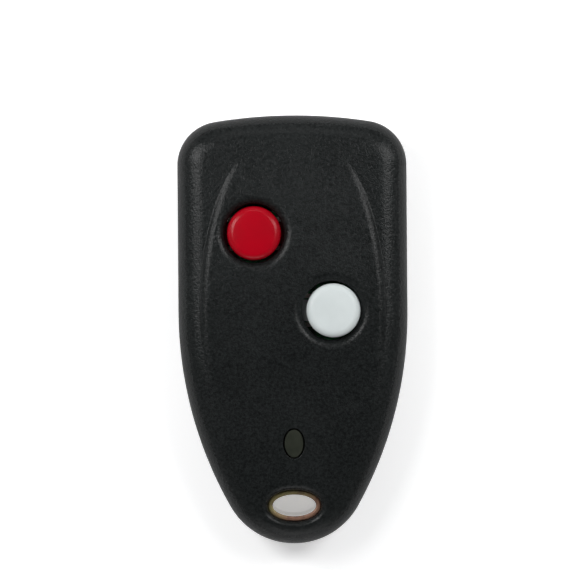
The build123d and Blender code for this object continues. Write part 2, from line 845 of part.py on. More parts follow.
def chip_row(first_x, length_share, count, height):
    low_y = case_length * length_share - chip_width / 2
    top_z = board_top_z + height
    chips = []
    for index in range(count):
        low_x = first_x + index * chip_pitch - chip_length / 2
        chips.append(block(low_x, low_x + chip_length, low_y, low_y + chip_width, board_top_z, top_z))
    return chips


def save(name, shape):
    if isinstance(shape, list):
        shape = Compound(children=[solid for item in shape for solid in item.solids()])
    shape.label = name
    export_step(shape, "parts/" + name + ".step")


def main():
    os.makedirs("parts", exist_ok=True)
    positive_x = can_length / 2 + nub_length
    negative_x = -(can_length / 2 + spring_length)
    save("front_cover", front_cover())
    save("back_cover", back_cover())
    save("led_window", led_window())
    save("keyring_eyelet", keyring_eyelet())
    save("case_screw", case_screw())
    save("battery_can", battery_can())
    save("battery_sleeve", battery_sleeve())
    save("positive_contact", contact(positive_x, 1))
    save("negative_contact", contact(negative_x, -1))
    save("negative_spring", negative_spring())
    save("circuit_board", circuit_board())
    save("antenna_loop", antenna_loop())
    save("status_led", status_led())
    save("encoder_chip", encoder_chip())
    save("encoder_legs", encoder_legs())
    save("saw_resonator", saw_resonator())
    save("rf_transistor", rf_transistor())
    save("transistor_legs", transistor_legs())
    save("rf_coil", rf_coil())
    save("chip_resistors", chip_row(resistor_x, resistor_share, resistor_count, resistor_height))
    save("chip_capacitors", chip_row(capacitor_x, capacitor_share, capacitor_count, capacitor_height))
    for colour, (x, y) in button_places.items():
        save(colour + "_button_cap", button_cap(x, y, cap_shifts[colour]))
        save(colour + "_switch_base", switch_base(x, y))
        save(colour + "_switch_cover", switch_cover(x, y))
        save(colour + "_switch_dome", switch_dome(x, y))
        save(colour + "_switch_plunger", switch_plunger(x, y))
        save(colour + "_switch_legs", switch_legs(x, y))


main()
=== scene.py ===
import bmesh
import bpy
import math
import numpy as np
from mathutils import Euler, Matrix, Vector
from mathutils.geometry import delaunay_2d_cdt


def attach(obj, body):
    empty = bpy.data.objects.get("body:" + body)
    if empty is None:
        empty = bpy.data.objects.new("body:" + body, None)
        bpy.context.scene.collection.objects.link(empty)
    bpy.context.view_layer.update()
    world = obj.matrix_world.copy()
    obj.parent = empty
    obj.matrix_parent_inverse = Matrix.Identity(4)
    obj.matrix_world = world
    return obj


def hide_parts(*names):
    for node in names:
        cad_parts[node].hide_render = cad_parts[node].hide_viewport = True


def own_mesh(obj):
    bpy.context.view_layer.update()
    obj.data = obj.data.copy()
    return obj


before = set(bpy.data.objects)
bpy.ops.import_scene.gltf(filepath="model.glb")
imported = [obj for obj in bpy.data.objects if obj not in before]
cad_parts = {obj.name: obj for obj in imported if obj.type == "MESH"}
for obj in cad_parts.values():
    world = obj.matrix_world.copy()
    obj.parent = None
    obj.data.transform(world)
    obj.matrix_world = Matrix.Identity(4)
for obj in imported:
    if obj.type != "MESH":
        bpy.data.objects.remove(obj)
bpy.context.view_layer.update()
mm = 0.001
print("frame loaded,", len(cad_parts), "nodes")


# Adds a node to a tree with its settings, links and fixed values
def joinNode(tree, kind, sockets=None, settings=None):
    node = tree.nodes.new(kind)
    for key, value in (settings or {}).items():
        setattr(node, key, value)
    for key, value in (sockets or {}).items():
        if isinstance(value, bpy.types.NodeSocket):
            tree.links.new(value, node.inputs[key])
        else:
            node.inputs[key].default_value = value
    return node


# A socket that takes part in sums
class Link:
    def __init__(self, finish, socket):
        self.finish = finish
        self.socket = socket

    def maths(self, operation, first, second):
        return self.finish.add("Math", {"operation": operation}, {0: first, 1: second})

    def __add__(self, other):
        return self.maths("ADD", self, other)

    def __radd__(self, other):
        return self.maths("ADD", other, self)

    def __sub__(self, other):
        return self.maths("SUBTRACT", self, other)

    def __rsub__(self, other):
        return self.maths("SUBTRACT", other, self)

    def __mul__(self, other):
        return self.maths("MULTIPLY", self, other)

    def __rmul__(self, other):
        return self.maths("MULTIPLY", other, self)

    def atLeast(self, other):
        return self.maths("MAXIMUM", self, other)


class Finish:
    def __init__(self, name):
        self.material = bpy.data.materials.new(name)
        self.material.use_nodes = True
        self.tree = self.material.node_tree
        self.tree.nodes.clear()
        self.output = self.tree.nodes.new("ShaderNodeOutputMaterial")

    def add(self, kind, settings=None, sockets=None, output=0):
        plain = {}
        for key, value in (sockets or {}).items():
            plain[key] = value.socket if isinstance(value, Link) else value
        node = joinNode(self.tree, "ShaderNode" + kind, plain, settings)
        return Link(self, node.outputs[output])

    def place(self):
        return self.add("TexCoord", output="Object")

    def attribute(self, name):
        return self.add("Attribute", {"attribute_name": name}, output="Fac")

    def noise(self, where, size, detail=2.0, rough=0.5):
        sockets = {"Vector": where, "Scale": 1 / size, "Detail": detail, "Roughness": rough}
        return self.add("TexNoise", {}, sockets)

    def spread(self, value, low, high):
        return self.add("MapRange", {"clamp": True}, {0: value, 1: low, 2: high})

    def blend(self, share, first, second):
        return self.add("Mix", {"data_type": "RGBA"}, {0: share, 6: first, 7: second}, output=2)

    def bump(self, height, distance):
        return self.add("Bump", {}, {"Height": height, "Distance": distance})

    def show(self, shader):
        self.tree.links.new(shader.socket, self.output.inputs["Surface"])
        return self.material

    def surface(self, sockets):
        return self.show(self.add("BsdfPrincipled", {}, sockets))


# sRGB 0-255 to a linear colour
def tone(*levels):
    shares = [level / 255 for level in levels]
    linear = [share / 12.92 if share <= 0.04045 else ((share + 0.055) / 1.055) ** 2.4 for share in shares]
    return (*linear, 1.0)


def addObject(name, data):
    made = bpy.data.objects.new(name, data)
    bpy.context.scene.collection.objects.link(made)
    return made


# Points are in millimetres
def makePiece(name, points, faces, material, sharpAngle=40.0, attributes=None):
    mesh = bpy.data.meshes.new(name)
    mesh.from_pydata([(x * mm, y * mm, z * mm) for x, y, z in points], [], faces)
    mesh.validate()
    mesh.shade_smooth()
    mesh.set_sharp_from_angle(angle=math.radians(sharpAngle))
    for key, values in (attributes or {}).items():
        layer = mesh.attributes.new(key, "FLOAT", "POINT")
        layer.data.foreach_set("value", np.asarray(values, dtype=np.float32))
    mesh.materials.append(material)
    return addObject(name, mesh)


# Collects loops of points and the faces between them. Outward is on the right of first -> second
class Skin:
    def __init__(self):
        self.points = []
        self.faces = []

    def loop(self, places):
        start = len(self.points)
        self.points.extend([tuple(float(value) for value in place) for place in places])
        return list(range(start, len(self.points)))

    def strip(self, first, second):
        count = len(first)
        for index in range(count):
            after = (index + 1) % count
            self.faces.append((first[index], first[after], second[after], second[index]))

    def chain(self, loops):
        for first, second in zip(loops, loops[1:]):
            self.strip(first, second)

    def cap(self, ring, centre, facesUp):
        middle = self.loop([centre])[0]
        count = len(ring)
        for index in range(count):
            after = (index + 1) % count
            pair = (ring[index], ring[after]) if facesUp else (ring[after], ring[index])
            self.faces.append((*pair, middle))

    # Turned or oval form from a profile of (offset, z), anticlockwise seen with the axis on the left
    def turn(self, centre, radii, profile, count, closed=False):
        loops = []
        for offset, z in profile:
            loops.append(self.loop([(x, y, z) for x, y in ovalLoop(centre, radii, offset, count)]))
        self.chain(loops)
        if closed:
            self.strip(loops[-1], loops[0])
        else:
            self.cap(loops[0], (*centre, profile[0][1]), False)
            self.cap(loops[-1], (*centre, profile[-1][1]), True)

    # Upright prism over a convex outline, with its edges broken
    def prism(self, outline, lowZ, highZ, edgeBreak):
        middleX = sum(x for x, _ in outline) / len(outline)
        middleY = sum(y for _, y in outline) / len(outline)
        loops = []
        levels = [(edgeBreak, lowZ), (0, lowZ + edgeBreak), (0, highZ - edgeBreak), (edgeBreak, highZ)]
        for inset, z in levels:
            ring = []
            for x, y in outline:
                reach = math.hypot(x - middleX, y - middleY)
                share = 1 - inset * math.sqrt(2) / reach
                ring.append((middleX + (x - middleX) * share, middleY + (y - middleY) * share, z))
            loops.append(self.loop(ring))
        self.chain(loops)
        self.cap(loops[0], (middleX, middleY, lowZ), False)
        self.cap(loops[-1], (middleX, middleY, highZ), True)

    # Fills the space inside one loop and round the others with triangles through extra points
    def fill(self, outer, holes, extra, facesUp):
        ids, owners, edges = [], [], []
        for number, ring in enumerate([outer] + holes):
            base = len(ids)
            ids.extend(ring)
            owners.extend([number] * len(ring))
            edges.extend((base + index, base + (index + 1) % len(ring)) for index in range(len(ring)))
        added = self.loop(extra)
        ids.extend(added)
        owners.extend([0] * len(added))
        flat = [Vector((self.points[index][0], self.points[index][1])) for index in ids]
        tolerance = 1e-7
        places, _, triangles, origins, _, _ = delaunay_2d_cdt(flat, edges, [], 0, tolerance, True)
        names = [ids[origin[0]] for origin in origins]
        for triangle in triangles:
            # every hole is convex, so a triangle with all its corners on one hole lies inside it
            corners = {owners[origins[index][0]] for index in triangle}
            if len(corners) == 1 and corners != {0}:
                continue
            a, b, c = [places[index] for index in triangle]
            turn = (b.x - a.x) * (c.y - a.y) - (b.y - a.y) * (c.x - a.x)
            face = [names[index] for index in triangle]
            if (turn > 0) != facesUp:
                face.reverse()
            self.faces.append(tuple(face))


def ovalLoop(centre, radii, offset, count):
    places = []
    for index in range(count):
        angle = 2 * math.pi * index / count
        across, along = math.cos(angle), math.sin(angle)
        normalX, normalY = across / radii[0], along / radii[1]
        length = math.hypot(normalX, normalY)
        places.append((
            centre[0] + radii[0] * across + offset * normalX / length,
            centre[1] + radii[1] * along + offset * normalY / length,
        ))
    return places


# How far a point lies outside an oval, exact for a circle and close near any other
def outsideOval(x, y, centre, radii):
    alongX = (x - centre[0]) / radii[0]
    alongY = (y - centre[1]) / radii[1]
    reach = np.maximum(np.hypot(alongX, alongY), 1e-6)
    return (reach - 1) * reach / np.maximum(np.hypot(alongX / radii[0], alongY / radii[1]), 1e-9)


# Piece of one round turned form
def turned(name, centre, radius, profile, material, count, closed=False, sharpAngle=40.0):
    skin = Skin()
    skin.turn(centre, (radius, radius), profile, count, closed)
    return makePiece(name, skin.points, skin.faces, material, sharpAngle)


def arcPoints(centreR, centreZ, radius, startAngle, endAngle, steps):
    points = []
    for step in range(steps + 1):
        angle = math.radians(startAngle + (endAngle - startAngle) * step / steps)
        points.append((centreR + radius * math.cos(angle), centreZ + radius * math.sin(angle)))
    return points


# Corner normals in which a wide flat outweighs the small faces of a round beside it
def flatFirst(mesh, sharpAngle):
    planes, areas, around = [], {}, {}
    for polygon in mesh.polygons:
        plane = tuple(round(value, 3) for value in polygon.normal)
        plane += (round(polygon.normal.dot(polygon.center) / mm, 2),)
        planes.append(plane)
        areas[plane] = areas.get(plane, 0.0) + polygon.area / mm ** 2
        for vertex in polygon.vertices:
            around.setdefault(vertex, []).append(polygon.index)
    facing = [polygon.normal.copy() for polygon in mesh.polygons]
    limit = math.cos(math.radians(sharpAngle))
    normals = []
    for polygon in mesh.polygons:
        own = facing[polygon.index]
        for vertex in polygon.vertices:
            near = [index for index in around[vertex] if facing[index].dot(own) > limit]
            total = sum((facing[index] * areas[planes[index]] ** 2 for index in near), Vector())
            normals.append(total.normalized())
    mesh.normals_split_custom_set(normals)


# Smooth copy of a CAD mesh, for a node whose shape is right but whose facets would show
def smoothCopy(node, name, material, sharpAngle=30.0):
    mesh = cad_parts[node].data.copy()
    mesh.name = name
    work = bmesh.new()
    work.from_mesh(mesh)
    bmesh.ops.remove_doubles(work, verts=work.verts, dist=0.0005 * mm)
    work.to_mesh(mesh)
    work.free()
    mesh.shade_smooth()
    mesh.set_sharp_from_angle(angle=math.radians(sharpAngle))
    mesh.materials.clear()
    mesh.materials.append(material)
    for polygon in mesh.polygons:
        polygon.material_index = 0
    flatFirst(mesh, sharpAngle)
    piece = addObject(name, mesh)
    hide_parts(node)
    return piece


casePlastic = {
    "colour": tone(11, 13, 13),
    "paleColour": tone(38, 41, 41),
    "handledColour": tone(46, 47, 47),
    "grainSize": 0.44 * mm,
    "fineGrainSize": 0.18 * mm,
    "cloudSize": 9 * mm,
    "grainDepth": 0.029 * mm,
    "grainShare": 0.62,
    "cloudShare": 0.35,
    "handledShare": 0.25,
    "handledPolish": 0.05,
    "roughness": (0.20, 0.27),
    "mattShift": 0.24,
    # share by which the matt mask darkens the colour as painted shade
    "paintedShadeShare": 0.5,
    "specular": 0.17,
}


def makeCasePlastic(name, hasWearAndShade):
    look = casePlastic
    finish = Finish(name)
    where = finish.place()
    grain = finish.noise(where, look["grainSize"], 2.0, 0.6)
    fineGrain = finish.noise(where, look["fineGrainSize"], 1.0)
    cloud = finish.noise(where, look["cloudSize"], 3.0)
    spark = finish.spread(grain * 0.6 + fineGrain * 0.4, 0.36, 0.64)
    share = look["grainShare"] * spark + look["cloudShare"] * (cloud - 0.15)
    colour = finish.blend(share, look["colour"], look["paleColour"])
    low, high = look["roughness"]
    rough = low + (high - low) * finish.spread(cloud + 0.4 * (spark - 0.5), 0.3, 0.75)
    # the matt share also darkens the colour towards the deep tone as painted shade; the back cover takes the
    # full share all over
    mattShade = 1.0
    if hasWearAndShade:
        handled = finish.attribute("wearAndShade")
        rubbed = handled * finish.spread(grain, 0.4, 0.65)
        colour = finish.blend(rubbed * look["handledShare"], colour, look["handledColour"])
        rough = rough - look["handledPolish"] * handled
        mattShade = finish.attribute("mattShade")
    return finish.surface({
        "Base Color": finish.blend(mattShade * look["paintedShadeShare"], colour, look["colour"]),
        "Roughness": rough + look["mattShift"] * mattShade,
        "Normal": finish.bump(spark, look["grainDepth"]),
        "Specular IOR Level": look["specular"],
    })


# gapShadeColour is painted shade for the ears seen in the gap round each cap
capPlastic = {
    "red": {
        "colour": tone(168, 1, 23), "deepColour": tone(152, 0, 20), "gapShadeColour": tone(90, 6, 15),
        "roughness": 0.25, "specular": 0.2,
    },
    "white": {
        "colour": tone(210, 217, 217), "deepColour": tone(201, 208, 208), "gapShadeColour": tone(118, 121, 121),
        "roughness": 0.35, "specular": 0.22,
    },
    "flowSize": 5 * mm,
    "poreSize": 0.22 * mm,
    "poreDepth": 0.003 * mm,
    "gapShadeRoughness": 0.25,
}


def makeCapPlastic(shade):
    look = capPlastic[shade]
    finish = Finish(shade + "CapPlastic")
    where = finish.place()
    flow = finish.noise(where, capPlastic["flowSize"], 3.0)
    pores = finish.noise(where, capPlastic["poreSize"], 1.0)
    colour = finish.blend(finish.spread(flow, 0.3, 0.75), look["colour"], look["deepColour"])
    # painted shade: the ears in the gap take a darker colour and a rougher finish
    gapShade = finish.attribute("wearAndShade")
    rough = look["roughness"] + 0.12 * (flow - 0.5) + 0.05 * (pores - 0.5)
    return finish.surface({
        "Base Color": finish.blend(gapShade, colour, look["gapShadeColour"]),
        "Roughness": rough + capPlastic["gapShadeRoughness"] * gapShade,
        "Normal": finish.bump(pores, capPlastic["poreDepth"]),
        "Specular IOR Level": look["specular"],
    })


eyeletMetal = {
    "oliveColour": tone(132, 122, 82),
    "pinkColour": tone(136, 102, 84),
    "stainColour": tone(80, 58, 46),
    "boreColour": tone(236, 232, 224),
    "middleY": -27.55 * mm,
    "stainSize": 1.1 * mm,
    "scuffSize": 0.12 * mm,
    "scuffDepth": 0.012 * mm,
    "roughness": 0.42,
    "boreRoughness": 0.12,
    "metallic": 0.45,
    "boreMetallic": 0.95,
}


# Brass that turns from olive to pink across the ring, round a bright bore
def makeEyeletMetal():
    look = eyeletMetal
    finish = Finish("tarnishedBrass")
    where = finish.place()
    stain = finish.noise(where, look["stainSize"], 4.0, 0.6)
    scuff = finish.noise(where, look["scuffSize"], 2.0)
    x = finish.add("SeparateXYZ", {}, {0: where}, output=0)
    y = finish.add("SeparateXYZ", {}, {0: where}, output=1)
    across = x * 0.8 - (y - look["middleY"]) * 1.3 + (stain - 0.5) * 4 * mm
    tint = finish.spread(across, -2.0 * mm, 2.2 * mm)
    colour = finish.blend(tint, look["oliveColour"], look["pinkColour"])
    colour = finish.blend(finish.spread(stain, 0.5, 0.72), colour, look["stainColour"])
    rough = look["roughness"] + 0.3 * (stain - 0.4) + 0.1 * (scuff - 0.5)
    bore = finish.attribute("wearAndShade")
    return finish.surface({
        "Base Color": finish.blend(bore, colour, look["boreColour"]),
        "Roughness": rough * (1 - bore) + look["boreRoughness"] * bore,
        "Normal": finish.bump((stain * 0.6 + scuff * 0.4) * (1 - bore), look["scuffDepth"]),
        "Metallic": look["metallic"] + (look["boreMetallic"] - look["metallic"]) * bore,
    })


windowPlastic = {
    "colour": tone(38, 41, 34),
    "lightColour": tone(48, 51, 43),
    "depthSize": 1.8 * mm,
    "poreSize": 0.3 * mm,
    "waveDepth": 0.002 * mm,
    "roughness": 0.36,
    "specular": 0.2,
}


def makeWindowPlastic():
    look = windowPlastic
    finish = Finish("smokedWindow")
    where = finish.place()
    depth = finish.noise(where, look["depthSize"], 2.0)
    return finish.surface({
        "Base Color": finish.blend(finish.spread(depth, 0.35, 0.7), look["colour"], look["lightColour"]),
        "Roughness": look["roughness"] + 0.08 * (finish.noise(where, look["poreSize"]) - 0.5),
        "Normal": finish.bump(depth, look["waveDepth"]),
        "Specular IOR Level": look["specular"],
    })


# Colours are sRGB 0-255. A grain has its size and depth in millimetres
metals = {
    "screwSteel": {"colour": (188, 188, 184), "dark": (150, 150, 146), "grain": (0.2, 0.004), "rough": 0.32},
    "canSteel": {"colour": (196, 196, 190), "dark": (168, 168, 160), "grain": (0.5, 0.004), "rough": 0.3,
                 "stretch": (8.0, 1.0, 1.0)},
    "contactPlate": {"colour": (206, 203, 194), "dark": (172, 168, 158), "grain": (0.35, 0.004), "rough": 0.3,
                     "stretch": (1.0, 0.2, 1.0)},
    "antennaTin": {"colour": (200, 200, 194), "dark": (164, 164, 158), "grain": (0.6, 0.004), "rough": 0.4},
    "coilCopper": {"colour": (196, 120, 70), "dark": (150, 80, 44), "grain": (0.3, 0.004), "rough": 0.28},
}
mouldings = {
    "sleeveFilm": {"colour": (30, 31, 36), "dark": (20, 20, 24), "grain": (1.2, 0.01), "rough": 0.25},
    "switchPlastic": {"colour": (34, 34, 35), "dark": (25, 25, 26), "grain": (0.15, 0.004), "rough": 0.5},
    "lampPlastic": {"colour": (226, 226, 216), "dark": (208, 207, 194), "grain": (0.3, 0.003), "rough": 0.35},
    "chipPlastic": {"colour": (38, 38, 40), "dark": (28, 28, 30), "grain": (0.12, 0.006), "rough": 0.6},
    "chipCeramic": {"colour": (164, 138, 108), "dark": (140, 114, 86), "grain": (0.1, 0.004), "rough": 0.55},
}
metalKind = {"detail": 3.0, "cloudSize": 3.0, "grainRough": 0.22, "cloudRough": 0.12, "metallic": 1.0}
mouldingKind = {"detail": 2.0, "cloudSize": 2.5, "grainRough": 0.14, "cloudRough": 0.1, "metallic": 0.0}


# Metal or moulding with a fine grain, which may be stretched along one direction
def makeGrained(name, look, kind):
    finish = Finish(name)
    stretch = look.get("stretch", (1.0, 1.0, 1.0))
    where = finish.add("Mapping", {}, {"Vector": finish.place(), "Scale": stretch})
    size, depth = look["grain"]
    grain = finish.noise(where, size * mm, kind["detail"], 0.6)
    cloud = finish.noise(where, kind["cloudSize"] * mm, 2.0)
    shade = finish.spread(cloud, 0.3, 0.7)
    return finish.surface({
        "Base Color": finish.blend(shade, tone(*look["colour"]), tone(*look["dark"])),
        "Roughness": look["rough"] + kind["grainRough"] * (grain - 0.5) + kind["cloudRough"] * (cloud - 0.5),
        "Normal": finish.bump(grain, depth * mm),
        "Metallic": kind["metallic"],
    })


boardLaminate = {
    "mask": tone(24, 96, 52),
    "overCopper": tone(44, 128, 72),
    "weaveSize": 0.5 * mm,
    "trackScale": 187.5,
    "bendSize": 3.84 * mm,
    "copperHeight": 0.03 * mm,
    "roughness": 0.3,
}


def makeBoardLaminate():
    look = boardLaminate
    finish = Finish("solderMask")
    where = finish.place()
    bends = finish.add("TexVoronoi", {"distance": "MANHATTAN", "feature": "DISTANCE_TO_EDGE"},
                       {"Vector": where, "Scale": 1 / look["bendSize"]})
    waves = finish.add("TexWave", {"bands_direction": "X"},
                       {"Vector": where, "Scale": look["trackScale"], "Distortion": 1.5, "Detail": 0.0})
    tracks = finish.spread(waves, 0.72, 0.78) * finish.spread(bends, 0.05, 0.08)
    weave = finish.noise(where, look["weaveSize"], 1.0)
    return finish.surface({
        "Base Color": finish.blend(tracks * 0.9, look["mask"], look["overCopper"]),
        "Roughness": look["roughness"] + 0.15 * (weave - 0.5) - 0.05 * tracks,
        "Normal": finish.bump(tracks + 0.1 * weave, look["copperHeight"]),
    })


finishes = {
    "case": makeCasePlastic("sparkErodedCase", True),
    "backCase": makeCasePlastic("sparkErodedBack", False),
    "red": makeCapPlastic("red"),
    "white": makeCapPlastic("white"),
    "eyelet": makeEyeletMetal(),
    "window": makeWindowPlastic(),
    "board": makeBoardLaminate(),
}
for kind, looks in ((metalKind, metals), (mouldingKind, mouldings)):
    for name, look in looks.items():
        finishes[name] = makeGrained(name, look, kind)
print("finishes made,", len(finishes))


caseForm = {
    "halfWidth": 18.0,
    "length": 67.4,
    "bowRadius": 77.0,
    "cornerRadius": 6.9,
    "noseRadius": 11.5,
    "taperStart": 2.9,
    "deck": 13.7,
    "deckFall": 200.0,
    "shoulder": 4.2,
    "parting": 6.3,
    "wall": 1.6,
    "rimGap": 0.8,
    "rimHeight": 1.1,
    "rimRound": 0.12,
}
halfWidth, bowRadius, cornerRadius, noseRadius, taperY = [
    caseForm[name] for name in ("halfWidth", "bowRadius", "cornerRadius", "noseRadius", "taperStart")]
bowCentreY = caseForm["length"] / 2 - bowRadius
cornerX = halfWidth - cornerRadius
cornerY = bowCentreY + math.sqrt((bowRadius - cornerRadius) ** 2 - cornerX ** 2)
cornerAngle = math.atan2(cornerY - bowCentreY, cornerX)
noseY = noseRadius - caseForm["length"] / 2
taperRun = taperY - noseY
taperRadius = (halfWidth ** 2 + taperRun ** 2 - noseRadius ** 2) / (2 * (halfWidth - noseRadius))
taperX = halfWidth - taperRadius
taperAngle = math.atan2(taperRun, -taperX)

# The mesh has its own rows over the span, and the panel rises out of the deck only within its reach
ovalPanel = {
    "centre": (0.0, 2.022),
    "radii": (14.85, 32.3),
    "top": 14.4,
    "crownY": 9.908,
    "arch": 197.0,
    "edgeRound": 1.6,
    "edgeSlope": 6.0,
    "footRound": 0.12,
    "reach": (-15.0, 29.5),
    "span": (-12.0, 27.5),
    "rows": (-0.75, -0.5, -0.32, -0.2, -0.1, -0.02, 0.05, 0.11, 0.17, 0.23, 0.29, 0.36, 0.45, 0.56, 0.7, 0.87,
             1.07, 1.3, 1.55, 1.8),
}

# Each hole has a rolled lip, with loops of points at these distances round it
buttonWell = {
    "radii": (4.6, 4.6), "lip": 1.4, "rings": (0.3, 0.12, 0.0),
    "places": {"red": (-6.0, 15.156), "white": (6.0, 3.053)},
}
lampHole = {"centre": (0.0, -17.7), "radii": (1.7, 2.4), "lip": 0.12, "rings": (0.3, 0.0)}
ringHole = {
    "centre": (0.0, -27.55), "radii": (4.2, 2.5), "lip": 1.15, "rings": (0.2, 0.0),
    "sleeve": 1.1, "low": caseForm["parting"],
}
caseHoles = [(centre, buttonWell) for centre in buttonWell["places"].values()]
caseHoles += [(form["centre"], form) for form in (lampHole, ringHole)]


# Distance in from the outline and the direction inwards, for arrays of points
def insideCase(x, y):
    side = np.abs(x)
    distance = halfWidth - side
    inX = -np.ones_like(side)
    inY = np.zeros_like(side)

    # measures from an arc of the outline where that is the nearest part
    def fromArc(nearest, centreX, centreY, radius):
        nonlocal distance, inX, inY
        reach = np.maximum(np.hypot(side - centreX, y - centreY), 1e-9)
        distance = np.where(nearest, radius - reach, distance)
        inX = np.where(nearest, (centreX - side) / reach, inX)
        inY = np.where(nearest, (centreY - y) / reach, inY)

    low = y < taperY
    fromArc(low, taperX, taperY, taperRadius)
    onNose = low & (np.arctan2(y - taperY, side - taperX) < -taperAngle)
    fromArc(onNose, 0, noseY, noseRadius)
    turn = np.arctan2(y - cornerY, side - cornerX)
    inCorner = (side > cornerX) & (turn > 0) & (turn < cornerAngle)
    onBow = ~inCorner & (bowRadius - np.hypot(side, y - bowCentreY) < distance)
    fromArc(onBow, 0, bowCentreY, bowRadius)
    fromArc(inCorner, cornerX, cornerY, cornerRadius)
    return distance, inX * np.where(x < 0, -1, 1), inY


def deckHeight(y, inset):
    radius = caseForm["deckFall"] - inset
    drop = radius - np.sqrt(radius ** 2 - np.minimum(y, 0) ** 2)
    return caseForm["deck"] - inset - drop


# Deck with its rolled shoulder: a ball that rolls round between the deck and the side wall
def bareHeight(x, y, inset):
    distance, _, inY = insideCase(x, y)
    distance = np.maximum(distance - inset, 0)
    ball = caseForm["shoulder"] - inset
    centreY = y + inY * np.maximum(ball - distance, 0)
    slope = np.maximum(-centreY, 0) / (caseForm["deckFall"] - caseForm["shoulder"])
    lean = np.clip(slope * np.maximum(inY, 0), 0, 0.5)
    centreZ = deckHeight(centreY, inset + ball)
    rolled = centreZ + np.sqrt(np.maximum(ball ** 2 - (ball - np.minimum(distance, ball)) ** 2, 0))
    return np.where(distance < ball * (1 - lean), rolled, deckHeight(y, inset))


def insidePanel(x, y):
    return -outsideOval(x, y, ovalPanel["centre"], ovalPanel["radii"])


# Panel arch less its rolled edge, joined to the deck by a soft maximum
def faceHeight(x, y):
    bare = bareHeight(x, y, 0)
    radius = ovalPanel["arch"]
    arch = ovalPanel["top"] - radius + np.sqrt(radius ** 2 - (y - ovalPanel["crownY"]) ** 2)
    ball = ovalPanel["edgeRound"]
    inner = insidePanel(x, y)
    drop = ball - np.sqrt(np.maximum(ball ** 2 - (ball - np.clip(inner, 0, ball)) ** 2, 0))
    panel = arch - drop + ovalPanel["edgeSlope"] * np.minimum(inner, 0)
    soft = ovalPanel["footRound"]
    share = np.clip(0.5 + 0.5 * (panel - bare) / soft, 0, 1)
    height = bare + (panel - bare) * share + soft * share * (1 - share)
    low, high = ovalPanel["reach"]
    return np.where((y > low) & (y < high), height, bare)


# Points round the outline, anticlockwise from the nose, with the direction inwards
def outlinePoints(spacing):
    half = []

    def arc(centreX, centreY, radius, first, last):
        steps = max(round(radius * (last - first) / spacing), 4)
        for step in range(steps):
            angle = first + (last - first) * step / steps
            across, along = math.cos(angle), math.sin(angle)
            half.append((centreX + radius * across, centreY + radius * along, -across, -along))

    arc(0, noseY, noseRadius, -math.pi / 2, -taperAngle)
    arc(taperX, taperY, taperRadius, -taperAngle, 0)
    straight = cornerY - taperY
    steps = round(straight / spacing)
    half += [(halfWidth, taperY + straight * step / steps, -1.0, 0.0) for step in range(steps)]
    arc(cornerX, cornerY, cornerRadius, 0, cornerAngle)
    arc(0, bowCentreY, bowRadius, cornerAngle, math.pi / 2)
    other = [(-x, y, -inX, inY) for x, y, inX, inY in half[:0:-1]]
    top = (0.0, caseForm["length"] / 2, 0.0, -1.0)
    return np.array(half + [top] + other)


# Spacings and gaps between the points of the front cover
frontMesh = {
    "around": 0.42,
    "shoulderRings": 18,
    "shoulderQuads": 10,
    "innerRings": 8,
    "innerQuads": 5,
    "lipSteps": 12,
    "holePoints": 96,
    "bandSpacing": 0.34,
    "openGrid": {"spacing": 0.55, "rowSpacing": 0.4763, "rows": 70, "columns": 40},
    "ceilingGrid": {"spacing": 1.7, "rowSpacing": 1.47, "rows": 22, "columns": 12},
    "ringGap": 0.16,
    "gridGap": 0.3,
    "bandGap": 0.2,
    "bandHoleGap": 0.05,
    "gridHoleGap": 0.15,
    "ceilingGap": 0.5,
    "ceilingHoleGap": 0.2,
    "sleeveGap": 0.25,
}
# Bands that hands polish: share, distance from an edge and width. A pair is where a fade starts and ends
handlingAndShade = {
    "panel": (1.0, 0.9, 0.6),
    "wells": (0.7, 0.9, 0.4),
    "ring": (1.0, 0.5, 0.4),
    "outline": (0.6, 1.2, 1.0),
    "lowest": 8.0,
    "panelLow": (-12.0, -4.0),
    "panelHigh": (25.0, 21.0),
    # painted shade: the mattShade entries say where the surface goes matt and its colour darkens, towards the
    # outline, on the lowest strip of the side and on the panel's upper roll
    "mattShadeFade": (1.875, 0.375),
    "mattShadeAbove": 0.5,
    "mattShadePanel": 0.45,
    "mattShadePanelRise": (8.0, 18.0),
}


# Insets that close up where a quarter round is steep
def rollInsets(first, reach, rings):
    return [first + reach * (1 - math.cos(math.radians(90 * ring / rings))) for ring in range(rings + 1)]


# Points of a triangular grid round the middle
def triangleGrid(spacing, rowSpacing, rows, columns):
    return np.array([
        ((column + 0.5 * (row % 2)) * spacing, row * rowSpacing)
        for row in range(-rows, rows + 1) for column in range(-columns, columns + 1)
    ])


# Points in rows that follow the panel's edge on both sides
def panelRows():
    (radiusX, radiusY), (low, high) = ovalPanel["radii"], ovalPanel["span"]
    steps = round((high - low) / frontMesh["bandSpacing"])
    points = []
    for side in (-1, 1):
        for step in range(steps + 1):
            y = low + (high - low) * step / steps
            turn = math.asin((y - ovalPanel["centre"][1]) / radiusY)
            normalX, normalY = math.cos(turn) / radiusX, math.sin(turn) / radiusY
            size = math.hypot(normalX, normalY)
            for row in ovalPanel["rows"]:
                x = radiusX * math.cos(turn) - row * normalX / size
                points.append((side * x, y - row * normalY / size))
    return np.array(points)


# Picks the points near the panel's rows
def inBand(points, gap):
    inner = insidePanel(*points.T)
    (low, high), rows = ovalPanel["span"], ovalPanel["rows"]
    near = (inner > rows[0] - gap) & (inner < rows[-1] + gap)
    return near & (points[:, 1] > low - gap) & (points[:, 1] < high + gap)


def clearOfHoles(points, gap):
    keep = np.ones(len(points), bool)
    for centre, form in caseHoles:
        keep &= outsideOval(*points.T, centre, form["radii"]) > form["lip"] + form["rings"][0] + gap
    return keep


def holePlaces(centre, radii, offset):
    return np.array(ovalLoop(centre, radii, offset, frontMesh["holePoints"])).T


